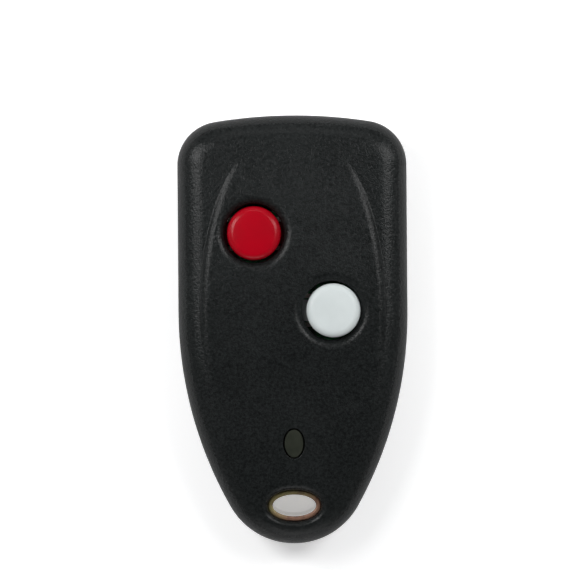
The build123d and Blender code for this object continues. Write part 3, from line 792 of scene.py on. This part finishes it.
# Loops of a hole's rolled lip and its wall, down to the ceiling or to a level of its own
def makeHole(skin, centre, form):
    lip, steps = form["lip"], frontMesh["lipSteps"]
    loops = []
    for away in form["rings"]:
        places = holePlaces(centre, form["radii"], lip + away)
        loops.append(skin.loop(zip(*places, faceHeight(*places))))
    for step in range(1, steps + 1):
        turn = math.radians(90 * step / steps)
        places = holePlaces(centre, form["radii"], lip * (1 - math.sin(turn)))
        heights = faceHeight(*places) - lip * (1 - math.cos(turn))
        loops.append(skin.loop(zip(*places, heights)))
    low = form.get("low", bareHeight(*places, caseForm["wall"]))
    for share in (0.5, 1.0):
        loops.append(skin.loop(zip(*places, heights + (low - heights) * share)))
    skin.chain(loops)
    return loops


# Rises from 0 at the first level to 1 at the second
def ramp(value, levels):
    first, second = levels
    return np.clip((value - first) / (second - first), 0, 1)


# How much hands have polished each point, and where the shoulder goes matt and darker with painted shade
# towards the outline
def coverWearAndShade(points):
    x, y, z = points.T

    def band(name, away):
        share, middle, width = handlingAndShade[name]
        return share * np.exp(-((away - middle) / width) ** 2)

    panelEdge = band("panel", insidePanel(x, y))
    panelEdge *= ramp(y, handlingAndShade["panelLow"]) * ramp(y, handlingAndShade["panelHigh"])
    distance = insideCase(x, y)[0]
    handled = np.maximum(panelEdge, band("outline", distance))
    for centre in buttonWell["places"].values():
        handled = np.maximum(handled, band("wells", outsideOval(x, y, centre, buttonWell["radii"])))
    handled = np.maximum(handled, band("ring", outsideOval(x, y, ringHole["centre"], ringHole["radii"])))
    handled = np.where(z > handlingAndShade["lowest"], handled, 0)
    # painted shade: this share makes the surface matt and darkens its colour towards the outline, over the
    # lowest strip of the side and on the panel's upper roll
    fade = ramp(distance, handlingAndShade["mattShadeFade"])
    fade = fade * fade * (3 - 2 * fade)
    mattShade = np.where(z > caseForm["parting"] + handlingAndShade["mattShadeAbove"], fade, 1)
    mattShade = np.maximum(mattShade, handlingAndShade["mattShadePanel"] * panelEdge * ramp(y, handlingAndShade["mattShadePanelRise"]))
    return {"wearAndShade": handled, "mattShade": mattShade}


def makeFrontCover():
    skin = Skin()
    x0, y0, inX, inY = outlinePoints(frontMesh["around"]).T
    ball, wall, parting = caseForm["shoulder"], caseForm["wall"], caseForm["parting"]

    def inward(inset):
        return x0 + inX * inset, y0 + inY * inset

    def caseLoop(inset, height):
        return skin.loop(zip(*inward(inset), np.full(len(x0), height)))

    def surfaceLoop(inset, under=False):
        places = inward(inset)
        return skin.loop(zip(*places, bareHeight(*places, wall) if under else faceHeight(*places)))

    # rings from the ceiling down inside the wall, round the step for the tongue and up over the shoulder
    insets = rollInsets(0, ball, frontMesh["shoulderRings"])
    innerInsets = rollInsets(wall, ball - wall, frontMesh["innerRings"])[:-1]
    quads, innerQuads = frontMesh["shoulderQuads"], frontMesh["innerQuads"]
    gap, bevel = caseForm["rimGap"], caseForm["rimRound"]
    rimTop = parting + caseForm["rimHeight"]
    rings = [surfaceLoop(inset, True) for inset in innerInsets[innerQuads - 1::-1]]
    rings += [caseLoop(inset, height) for inset, height in (
        (wall, rimTop), (gap, rimTop), (gap, parting),
        (bevel, parting), (bevel * 0.3, parting + bevel * 0.3), (0, parting + bevel),
    )]
    rings += [surfaceLoop(inset) for inset in insets[:quads]]
    skin.chain(rings)

    holes = [makeHole(skin, centre, form) for centre, form in caseHoles]
    sleeve = holePlaces(ringHole["centre"], ringHole["radii"], ringHole["sleeve"])
    sleeveLow = skin.loop(zip(*sleeve, np.full(len(sleeve[0]), parting)))
    sleeveHigh = skin.loop(zip(*sleeve, bareHeight(*sleeve, wall)))
    skin.chain([holes[-1][-1], sleeveLow, sleeveHigh])

    # face: rows along the panel's edge, then the last shoulder rings and an even grid
    rows = panelRows()
    rows = rows[insideCase(*rows.T)[0] > insets[quads - 1] + frontMesh["ringGap"]]
    grid = triangleGrid(**frontMesh["openGrid"])
    grid = grid[insideCase(*grid.T)[0] > ball + frontMesh["gridGap"]]
    more = np.concatenate([np.array(inward(inset)).T for inset in insets[quads:]] + [grid])
    more = more[~inBand(more, frontMesh["bandGap"])]
    more = more[clearOfHoles(more, frontMesh["gridHoleGap"])]
    face = np.concatenate([rows[clearOfHoles(rows, frontMesh["bandHoleGap"])], more])
    facePoints = zip(*face.T, faceHeight(*face.T))
    skin.fill(rings[-1], [loops[0] for loops in holes], facePoints, True)

    # ceiling: a wider grid and the last inner rings
    grid = triangleGrid(**frontMesh["ceilingGrid"])
    grid = grid[insideCase(*grid.T)[0] > innerInsets[-1] + frontMesh["ceilingGap"]]
    under = np.concatenate([grid] + [np.array(inward(inset)).T[::3] for inset in innerInsets[innerQuads:]])
    sleeveAway = outsideOval(*under.T, ringHole["centre"], ringHole["radii"])
    farEnough = sleeveAway > ringHole["sleeve"] + frontMesh["sleeveGap"]
    under = under[clearOfHoles(under, frontMesh["ceilingHoleGap"]) & farEnough]
    underPoints = zip(*under.T, bareHeight(*under.T, wall))
    skin.fill(rings[0], [loops[-1] for loops in holes[:-1]] + [sleeveHigh], underPoints, False)
    return makePiece("frontCoverShell", skin.points, skin.faces, finishes["case"], 46.0,
                     coverWearAndShade(np.array(skin.points)))


frontCover = makeFrontCover()
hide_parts("front_cover")
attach(frontCover, "housing")
print("front cover,", len(frontCover.data.polygons), "faces")

# Posts under the front cover: the screw boss and the four pads on the board
frontPosts = {
    "bossRadius": 3.0, "pinRadius": 2.2, "padRadius": 1.2, "round": 0.15,
    "boss": (0.0, -7.01), "bossTop": 12.5, "boardTop": 7.45, "boardLow": 5.9, "padGap": 0.05, "sunk": 0.6,
    "pads": [(12.4, 8.49), (-12.4, 8.49), (7.81, -19.21), (-7.81, -19.21)],
    "around": 40,
}


def makeFrontPosts():
    size = frontPosts
    soft, step = size["round"], size["boardTop"]
    posts = []
    low = step + size["padGap"]
    for x, y in size["pads"]:
        high = float(bareHeight(np.array([x]), np.array([y]), caseForm["wall"])[0]) + size["sunk"]
        posts.append(((x, y), size["padRadius"], [(-soft, low), (0, low + soft), (0.0, high)]))
    low = size["boardLow"]
    wider = size["bossRadius"] - size["pinRadius"]
    posts.append((size["boss"], size["pinRadius"], [
        (-soft, low), (0, low + soft), (0, step), (wider, step), (wider, size["bossTop"]),
    ]))
    for index, (centre, radius, profile) in enumerate(posts):
        post = turned("frontPost" + str(index), centre, radius, profile, finishes["backCase"], size["around"])
        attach(post, "housing")


makeFrontPosts()


buttonCap = {
    "radius": 4.2,
    "top": 15.2,
    "crown": 0.12,
    "edgeRound": 1.1,
    "wall": 1.1,
    "low": 11.35,
    "earHigh": 12.05,
    "earReach": 1.1,
    "earWidth": 3.4,
    "hollowTop": 13.78,
    "post": 1.6,
    "postLow": 11.75,
    "edgeBreak": 0.08,
    "shifts": {"red": 0.0, "white": 0.3},
    "around": 120,
    "postAround": 48,
    "edgeSteps": 14,
    "crownRings": (0.85, 0.7, 0.5, 0.3, 0.12),
    "overlap": 0.3,
}


def makeButtonCap(shade, body, node):
    size = buttonCap
    radius, edge, small = size["radius"], size["edgeRound"], size["edgeBreak"]
    wellX, y = buttonWell["places"][shade]
    x = wellX + size["shifts"][shade]
    crownBall = (radius ** 2 + size["crown"] ** 2) / (2 * size["crown"])
    inner = radius - size["wall"]
    rimZ = size["top"] - size["crown"]
    profile = [(inner * 0.5, size["hollowTop"]), (inner, size["hollowTop"]), (inner, size["low"])]
    profile += [(radius - small, size["low"]), (radius, size["low"] + small)]
    profile += [(radius, (size["low"] + rimZ - edge) / 2)]
    lean = math.degrees(math.asin((radius - edge) / crownBall))
    centreZ = size["top"] - crownBall + math.sqrt((crownBall - edge) ** 2 - (radius - edge) ** 2)
    profile += arcPoints(radius - edge, centreZ, edge, 0, 90 - lean, size["edgeSteps"])
    for share in size["crownRings"]:
        across = (radius - edge) * share
        profile.append((across, size["top"] - crownBall + math.sqrt(crownBall ** 2 - across ** 2)))
    skin = Skin()
    skin.turn((x, y), (radius, radius), [(across - radius, z) for across, z in profile], size["around"])
    post = size["post"]
    skin.turn((wellX, y), (post, post), [
        (-small, size["postLow"]), (0, size["postLow"] + small), (0, size["hollowTop"] + 0.1),
    ], size["postAround"])
    half = size["earWidth"] / 2
    cleanCount = len(skin.points)
    for side in (-1, 1):
        near, far = sorted((x + side * (radius - size["overlap"]), x + side * (radius + size["earReach"])))
        skin.prism([(near, y - half), (far, y - half), (far, y + half), (near, y + half)],
                   size["low"], size["earHigh"], small)
    # the ears reach across the gap round the cap, and their colour is darkened there as painted shade
    gapShadeMask = [float(index >= cleanCount) for index in range(len(skin.points))]
    cap = makePiece(shade + "Cap", skin.points, skin.faces, finishes[shade], 50.0, {"wearAndShade": gapShadeMask})
    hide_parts(node)
    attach(cap, body)


for shade in ("red", "white"):
    makeButtonCap(shade, shade + "_button", shade + "_button_cap")

ringEyelet = {
    "boreX": 3.4, "boreY": 1.7, "wall": 0.75, "low": 0.8, "high": 10.39, "round": 0.24,
    "collar": 0.7, "collarLow": 6.05, "collarHigh": 6.55, "around": 112,
}


def makeEyelet():
    size = ringEyelet
    wall, soft = size["wall"], size["round"]
    profile = arcPoints(wall - soft, size["low"] + soft, soft, -90, 0, 5)
    profile += [(wall, size["collarLow"]), (wall + size["collar"], size["collarLow"])]
    profile += [(wall + size["collar"], size["collarHigh"]), (wall, size["collarHigh"])]
    profile += arcPoints(wall - soft, size["high"] - soft, soft, 0, 90, 6)
    profile += arcPoints(soft, size["high"] - soft, soft, 90, 180, 6)
    profile += [(0.0, size["high"] - soft - 0.06)]
    profile += arcPoints(soft, size["low"] + soft, soft, 180, 270, 5)
    skin = Skin()
    skin.turn(ringHole["centre"], (size["boreX"], size["boreY"]), profile, size["around"], True)
    onBore = []
    for offset, z in profile:
        onBore += [float(offset < 0.001 and z < size["high"] - soft)] * size["around"]
    eyelet = makePiece("ringEyelet", skin.points, skin.faces, finishes["eyelet"], 50.0, {"wearAndShade": onBore})
    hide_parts("keyring_eyelet")
    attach(eyelet, "housing")


makeEyelet()
print("caps and eyelet made")

# Nodes shown by smooth copies of themselves, each with the piece's name, its finish and its slot
smoothPieces = {
    "led_window": ("lampWindow", "window", "window_plastic"),
    "back_cover": ("backCoverShell", "backCase", "case_plastic"),
    "case_screw": ("caseScrew", "screwSteel", "screw_steel"),
    "battery_can": ("cellCan", "canSteel", "can_steel"),
    "battery_sleeve": ("cellSleeve", "sleeveFilm", "sleeve_film"),
    "negative_spring": ("negativeSpring", "contactPlate", "contact_plate"),
    "rf_coil": ("coilDrum", "chipPlastic", "coil_copper"),
    "saw_resonator": ("resonatorCan", "canSteel", "can_steel"),
    "status_led": ("lampBody", "lampPlastic", "lamp_plastic"),
}
for node, (name, finishName, slotName) in smoothPieces.items():
    piece = smoothCopy(node, name, finishes[finishName])
    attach(piece, "housing")
print("smooth copies made,", len(smoothPieces))


# Repeats the incoming mesh along a line, and once more turned half round where "Mirrored" is set
def makeRowTree():
    tree = bpy.data.node_groups.new("repeatInRow", "GeometryNodeTree")
    inputs = {
        "Geometry": "Geometry", "Count": "Int", "First": "Vector", "Step": "Vector", "Centre": "Vector",
        "Mirrored": "Bool", "Material": "Material",
    }
    for name, kind in inputs.items():
        tree.interface.new_socket(name, in_out="INPUT", socket_type="NodeSocket" + kind)
    tree.interface.new_socket("Geometry", in_out="OUTPUT", socket_type="NodeSocketGeometry")
    start = tree.nodes.new("NodeGroupInput")
    end = tree.nodes.new("NodeGroupOutput")
    line = joinNode(tree, "GeometryNodeMeshLine", {
        "Count": start.outputs["Count"], "Start Location": start.outputs["First"],
        "Offset": start.outputs["Step"],
    })
    row = joinNode(tree, "GeometryNodeInstanceOnPoints", {
        "Points": line.outputs[0], "Instance": start.outputs["Geometry"],
    })
    opposite = joinNode(tree, "GeometryNodeTransform", {
        "Geometry": row.outputs[0], "Rotation": (0.0, 0.0, math.pi),
    })
    chosen = joinNode(tree, "GeometryNodeSwitch", {
        "Switch": start.outputs["Mirrored"], "True": opposite.outputs[0],
    }, {"input_type": "GEOMETRY"})
    both = joinNode(tree, "GeometryNodeJoinGeometry")
    tree.links.new(row.outputs[0], both.inputs[0])
    tree.links.new(chosen.outputs[0], both.inputs[0])
    placed = joinNode(tree, "GeometryNodeTransform", {
        "Geometry": both.outputs[0], "Translation": start.outputs["Centre"],
    })
    real = joinNode(tree, "GeometryNodeRealizeInstances", {0: placed.outputs[0]})
    dressed = joinNode(tree, "GeometryNodeSetMaterial", {
        "Geometry": real.outputs[0], "Material": start.outputs["Material"],
    })
    tree.links.new(dressed.outputs[0], end.inputs[0])
    return tree


rowTree = makeRowTree()


# Plain mesh of one piece repeated by the row tree. Lengths in millimetres
def repeatPiece(piece, name, count, first, step, centre, mirrored, material):
    modifier = piece.modifiers.new("row", "NODES")
    modifier.node_group = rowTree
    values = {
        "Count": count, "First": [value * mm for value in first], "Step": [value * mm for value in step],
        "Centre": [value * mm for value in centre], "Mirrored": mirrored, "Material": material,
    }
    for socket in rowTree.interface.items_tree:
        if socket.item_type == "SOCKET" and socket.in_out == "INPUT" and socket.name in values:
            modifier[socket.identifier] = values[socket.name]
    evaluated = piece.evaluated_get(bpy.context.evaluated_depsgraph_get())
    mesh = bpy.data.meshes.new_from_object(evaluated)
    piece.modifiers.remove(modifier)
    bpy.data.objects.remove(piece)
    mesh.name = name
    return addObject(name, mesh)


bendSteps = 6


# Strip of one thickness that follows a path of (across, height), with rounded bends
def bentLead(name, path, thickness, width, bend, material):
    middle = [Vector(path[0])]
    for before, corner, after in zip(path, path[1:], path[2:]):
        back = (Vector(before) - Vector(corner)).normalized() * bend
        ahead = (Vector(after) - Vector(corner)).normalized() * bend
        for step in range(bendSteps + 1):
            share = step / bendSteps
            middle.append(Vector(corner) + back * (1 - share) ** 2 + ahead * share ** 2)
    middle.append(Vector(path[-1]))
    skin = Skin()
    loops = []
    half = width / 2
    for index, place in enumerate(middle):
        along = (middle[min(index + 1, len(middle) - 1)] - middle[max(index - 1, 0)]).normalized()
        over = Vector((-along.y, along.x)) * thickness / 2
        corners = [(place - over, -half), (place - over, half), (place + over, half), (place + over, -half)]
        loops.append(skin.loop([(point.x, y, point.y) for point, y in corners]))
    skin.chain(loops)
    skin.faces.append(tuple(reversed(loops[0])))
    skin.faces.append(tuple(loops[-1]))
    return makePiece(name, skin.points, skin.faces, material, 35.0)


encoderLead = {
    "count": 7, "pitch": 1.27, "width": 0.4, "thickness": 0.15, "bend": 0.14,
    "bodyHalf": 1.95, "reach": 1.0, "footLength": 0.55, "leaves": 8.4, "board": 7.45,
    "sunk": 0.1, "shelf": 0.3, "centre": (-8.0, 1.618),
}


def makeEncoderLeads():
    size = encoderLead
    low = size["board"] + size["thickness"] / 2
    end = size["bodyHalf"] + size["reach"]
    knee = end - size["footLength"]
    top = size["leaves"]
    start, shelf = size["bodyHalf"] - size["sunk"], size["bodyHalf"] + size["shelf"]
    path = [(start, top), (shelf, top), (knee, low), (end, low)]
    metal = finishes["contactPlate"]
    lead = bentLead("encoderLead", path, size["thickness"], size["width"], size["bend"], metal)
    first = (0, -size["pitch"] * (size["count"] - 1) / 2, 0)
    leads = repeatPiece(lead, "encoderLeads", size["count"], first, (0, size["pitch"], 0),
                        (*size["centre"], 0), True, metal)
    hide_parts("encoder_legs")
    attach(leads, "housing")


makeEncoderLeads()

coilWinding = {
    "turns": 11, "radius": 1.62, "wire": 0.066, "low": 7.93, "high": 9.37, "centre": (-9.425, -9.234),
}


def makeCoilWinding():
    size = coilWinding
    wire = size["wire"]
    copper = finishes["coilCopper"]
    ring = turned("windingTurn", (0, 0), size["radius"], arcPoints(0, 0, wire, -90, 240, 11), copper, 64,
                  closed=True, sharpAngle=80.0)
    pitch = (size["high"] - size["low"] - 2 * wire) / (size["turns"] - 1)
    winding = repeatPiece(ring, "coilWinding", size["turns"], (0, 0, size["low"] + wire), (0, 0, pitch),
                          (*size["centre"], 0), False, copper)
    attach(winding, "housing")


makeCoilWinding()
print("leads and winding made")

switchDome = {
    "radius": 2.1, "rise": 0.4, "thickness": 0.1, "low": 8.85, "keep": 0.35, "around": 64,
    "underRings": (0.15, 0.4, 0.6, 0.8, 1.0), "overRings": (1.0, 0.85, 0.7, 0.5, 0.3, 0.15),
}


# Sprung dome that flattens under its plunger
def makeDome(shade):
    size = switchDome
    ball = (size["radius"] ** 2 + size["rise"] ** 2) / (2 * size["rise"])
    centreZ = size["low"] + size["rise"] - ball
    innerBall = ball - size["thickness"]
    innerRadius = math.sqrt(innerBall ** 2 - (size["low"] - centreZ) ** 2)
    profile = []
    for radius, sphere, shares in (
        (innerRadius, innerBall, size["underRings"]), (size["radius"], ball, size["overRings"]),
    ):
        for share in shares:
            across = radius * share
            profile.append((across - size["radius"], centreZ + math.sqrt(sphere ** 2 - across ** 2)))
    x, y = buttonWell["places"][shade]
    dome = turned(shade + "Dome", (x, y), size["radius"], profile, finishes["contactPlate"], size["around"])
    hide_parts(shade + "_switch_dome")
    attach(dome, "housing")
    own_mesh(dome)


for shade in ("red", "white"):
    makeDome(shade)

plainNodes = {
    "positive_contact": "contactPlate", "negative_contact": "contactPlate", "circuit_board": "board",
    "antenna_loop": "antennaTin", "encoder_chip": "chipPlastic", "rf_transistor": "chipPlastic",
    "transistor_legs": "contactPlate", "chip_resistors": "chipCeramic", "chip_capacitors": "chipCeramic",
}
for shade in ("red", "white"):
    plainNodes[shade + "_switch_base"] = "switchPlastic"
    plainNodes[shade + "_switch_cover"] = "contactPlate"
    plainNodes[shade + "_switch_plunger"] = "switchPlastic"
    plainNodes[shade + "_switch_legs"] = "contactPlate"
for node, finishName in plainNodes.items():
    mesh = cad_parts[node].data
    mesh.materials.clear()
    mesh.materials.append(finishes[finishName])
print("inside dressed")


studio = {
    "floorTone": 0.98,
    "floorGlow": 0.385,
    "floorHalf": 0.6,
    "floorDrop": 0.02,
    "boxes": {
        "leftBox": {"leanX": -37.0, "leanY": 24.0, "away": 0.22, "size": (0.07, 0.17), "power": 0.285},
        "rightBox": {"leanX": 37.0, "leanY": 24.0, "away": 0.22, "size": (0.07, 0.17), "power": 0.235},
        "topBox": {"leanX": 0.0, "leanY": 52.0, "away": 0.26, "size": (0.12, 0.06), "power": 0.05},
        "lowBox": {"leanX": 0.0, "leanY": -74.0, "away": 0.3, "size": (0.24, 0.08), "power": 0.13},
    },
    "backdropReach": (62.0, 130.0),
    "mirrorShare": 0.4,
    "holeReach": (4.5, 6.5),
    "floorDrift": 60.0,
    "zenithGrey": 0.05,
    "skyGrey": 0.27,
    "lowSky": (0.6, 0.4),
    "horizon": (0.22, 4.5),
    "zenithCone": (22.0, 50.0),
}


def makeFloor():
    finish = Finish("paleFloor")
    where = finish.place()

    # rises from 0 to 1 between two distances in millimetres from a place
    def fadeFrom(place, reach):
        away = finish.add("VectorMath", {"operation": "SUBTRACT"}, {0: where, 1: place})
        length = finish.add("VectorMath", {"operation": "LENGTH"}, {0: away}, output="Value")
        return finish.spread(length, *[limit * mm for limit in reach])

    drift = finish.noise(where, studio["floorDrift"] * mm, 2.0)
    grey = studio["floorTone"]
    plain, cool = (grey, grey, grey, 1.0), (grey * 0.99, grey * 0.99, grey, 1.0)
    colour = finish.blend(finish.spread(drift, 0.3, 0.7), plain, cool)
    diffuse = finish.add("BsdfDiffuse", {}, {"Color": colour})
    glow = finish.add("Emission", {}, {"Strength": studio["floorGlow"]})
    near = finish.add("AddShader", {}, {0: diffuse, 1: glow})
    # the floor turns into a white backdrop away from the part
    backdrop = finish.add("Emission", {}, {"Strength": 1.0})
    fade = fadeFrom((0.0, 0.0, 0.0), studio["backdropReach"])
    both = finish.add("MixShader", {}, {0: fade, 1: near, 2: backdrop})
    seen, mirrored, through = [
        finish.add("LightPath", output="Is " + kind + " Ray")
        for kind in ("Camera", "Glossy", "Transmission")
    ]
    # the case mirrors a dimmer floor, but the bore of the eyelet sees all of what lies under it
    x, y = ringHole["centre"]
    dimming = fadeFrom((x * mm, y * mm, 0.0), studio["holeReach"])
    share = seen.atLeast(mirrored * (1 - dimming * (1 - studio["mirrorShare"]))).atLeast(through)
    finish.show(finish.add("MixShader", {}, {0: share, 1: diffuse, 2: both}))
    half = studio["floorHalf"]
    corners = [(-half, -half, 0), (half, -half, 0), (half, half, 0), (-half, half, 0)]
    mesh = bpy.data.meshes.new("studioFloor")
    mesh.from_pydata(corners, [], [(0, 1, 2, 3)])
    mesh.materials.append(finish.material)
    floor = addObject("studioFloor", mesh)
    floor.location.z = -studio["floorDrop"] * mm


def softBox(name, leanX, leanY, away, size, power):
    data = bpy.data.lights.new(name, "AREA")
    data.shape = "RECTANGLE"
    data.size, data.size_y = size
    data.energy = power
    box = addObject(name, data)
    direction = Vector((math.tan(math.radians(leanX)), math.tan(math.radians(leanY)), 1.0)).normalized()
    box.location = direction * away
    box.rotation_euler = direction.to_track_quat("Z", "Y").to_euler()


# Sky that is dark overhead, dims towards the horizon and lightens again just above the floor
def makeSky():
    world = bpy.data.worlds.new("studioSky")
    bpy.context.scene.world = world
    world.use_nodes = True
    tree = world.node_tree
    heading = joinNode(tree, "ShaderNodeTexCoord")
    parts = joinNode(tree, "ShaderNodeSeparateXYZ", {0: heading.outputs["Generated"]})
    height = parts.outputs["Z"]
    near, far = [math.cos(math.radians(angle)) for angle in studio["zenithCone"]]
    sky = joinNode(tree, "ShaderNodeMapRange", {
        0: height, 1: near, 2: far, 3: studio["zenithGrey"], 4: studio["skyGrey"],
    }, {"interpolation_type": "SMOOTHSTEP"})
    level = sky.outputs[0]
    for top, share in (studio["lowSky"], studio["horizon"]):
        fade = joinNode(tree, "ShaderNodeMapRange", {0: height, 1: 0.0, 2: top, 3: share, 4: 1.0})
        product = joinNode(tree, "ShaderNodeMath", {0: level, 1: fade.outputs[0]}, {"operation": "MULTIPLY"})
        level = product.outputs[0]
    seen = joinNode(tree, "ShaderNodeLightPath").outputs["Is Camera Ray"]
    brightest = joinNode(tree, "ShaderNodeMath", {0: level, 1: seen}, {"operation": "MAXIMUM"})
    background = tree.nodes["Background"]
    background.inputs["Color"].default_value = (1.0, 1.0, 1.0, 1.0)
    tree.links.new(brightest.outputs[0], background.inputs["Strength"])


def makeStudio():
    makeFloor()
    for name, box in studio["boxes"].items():
        softBox(name, **box)
    makeSky()
    bpy.context.scene.view_settings.view_transform = "Standard"


photoView = {
    "height": 560.0, "turn": 0.43, "pixelsPerMm": 6.364, "offsetX": -8.1, "offsetY": 44.85, "lens": 221.3,
    "sensor": 36.0,
}


def makeCamera():
    turn = math.radians(photoView["turn"])
    right = Vector((math.cos(turn), -math.sin(turn), 0))
    up = Vector((math.sin(turn), math.cos(turn), 0))
    place = (right * photoView["offsetX"] + up * photoView["offsetY"]) / photoView["pixelsPerMm"]
    place.z = photoView["height"]
    data = bpy.data.cameras.new("photoCamera")
    data.sensor_width = photoView["sensor"]
    data.lens = photoView["lens"]
    data.clip_start = 0.01
    camera = addObject("photoCamera", data)
    camera.location = place * mm
    camera.rotation_euler = Euler((0, 0, -turn))
    bpy.context.scene.camera = camera


makeStudio()
makeCamera()
print("studio ready")
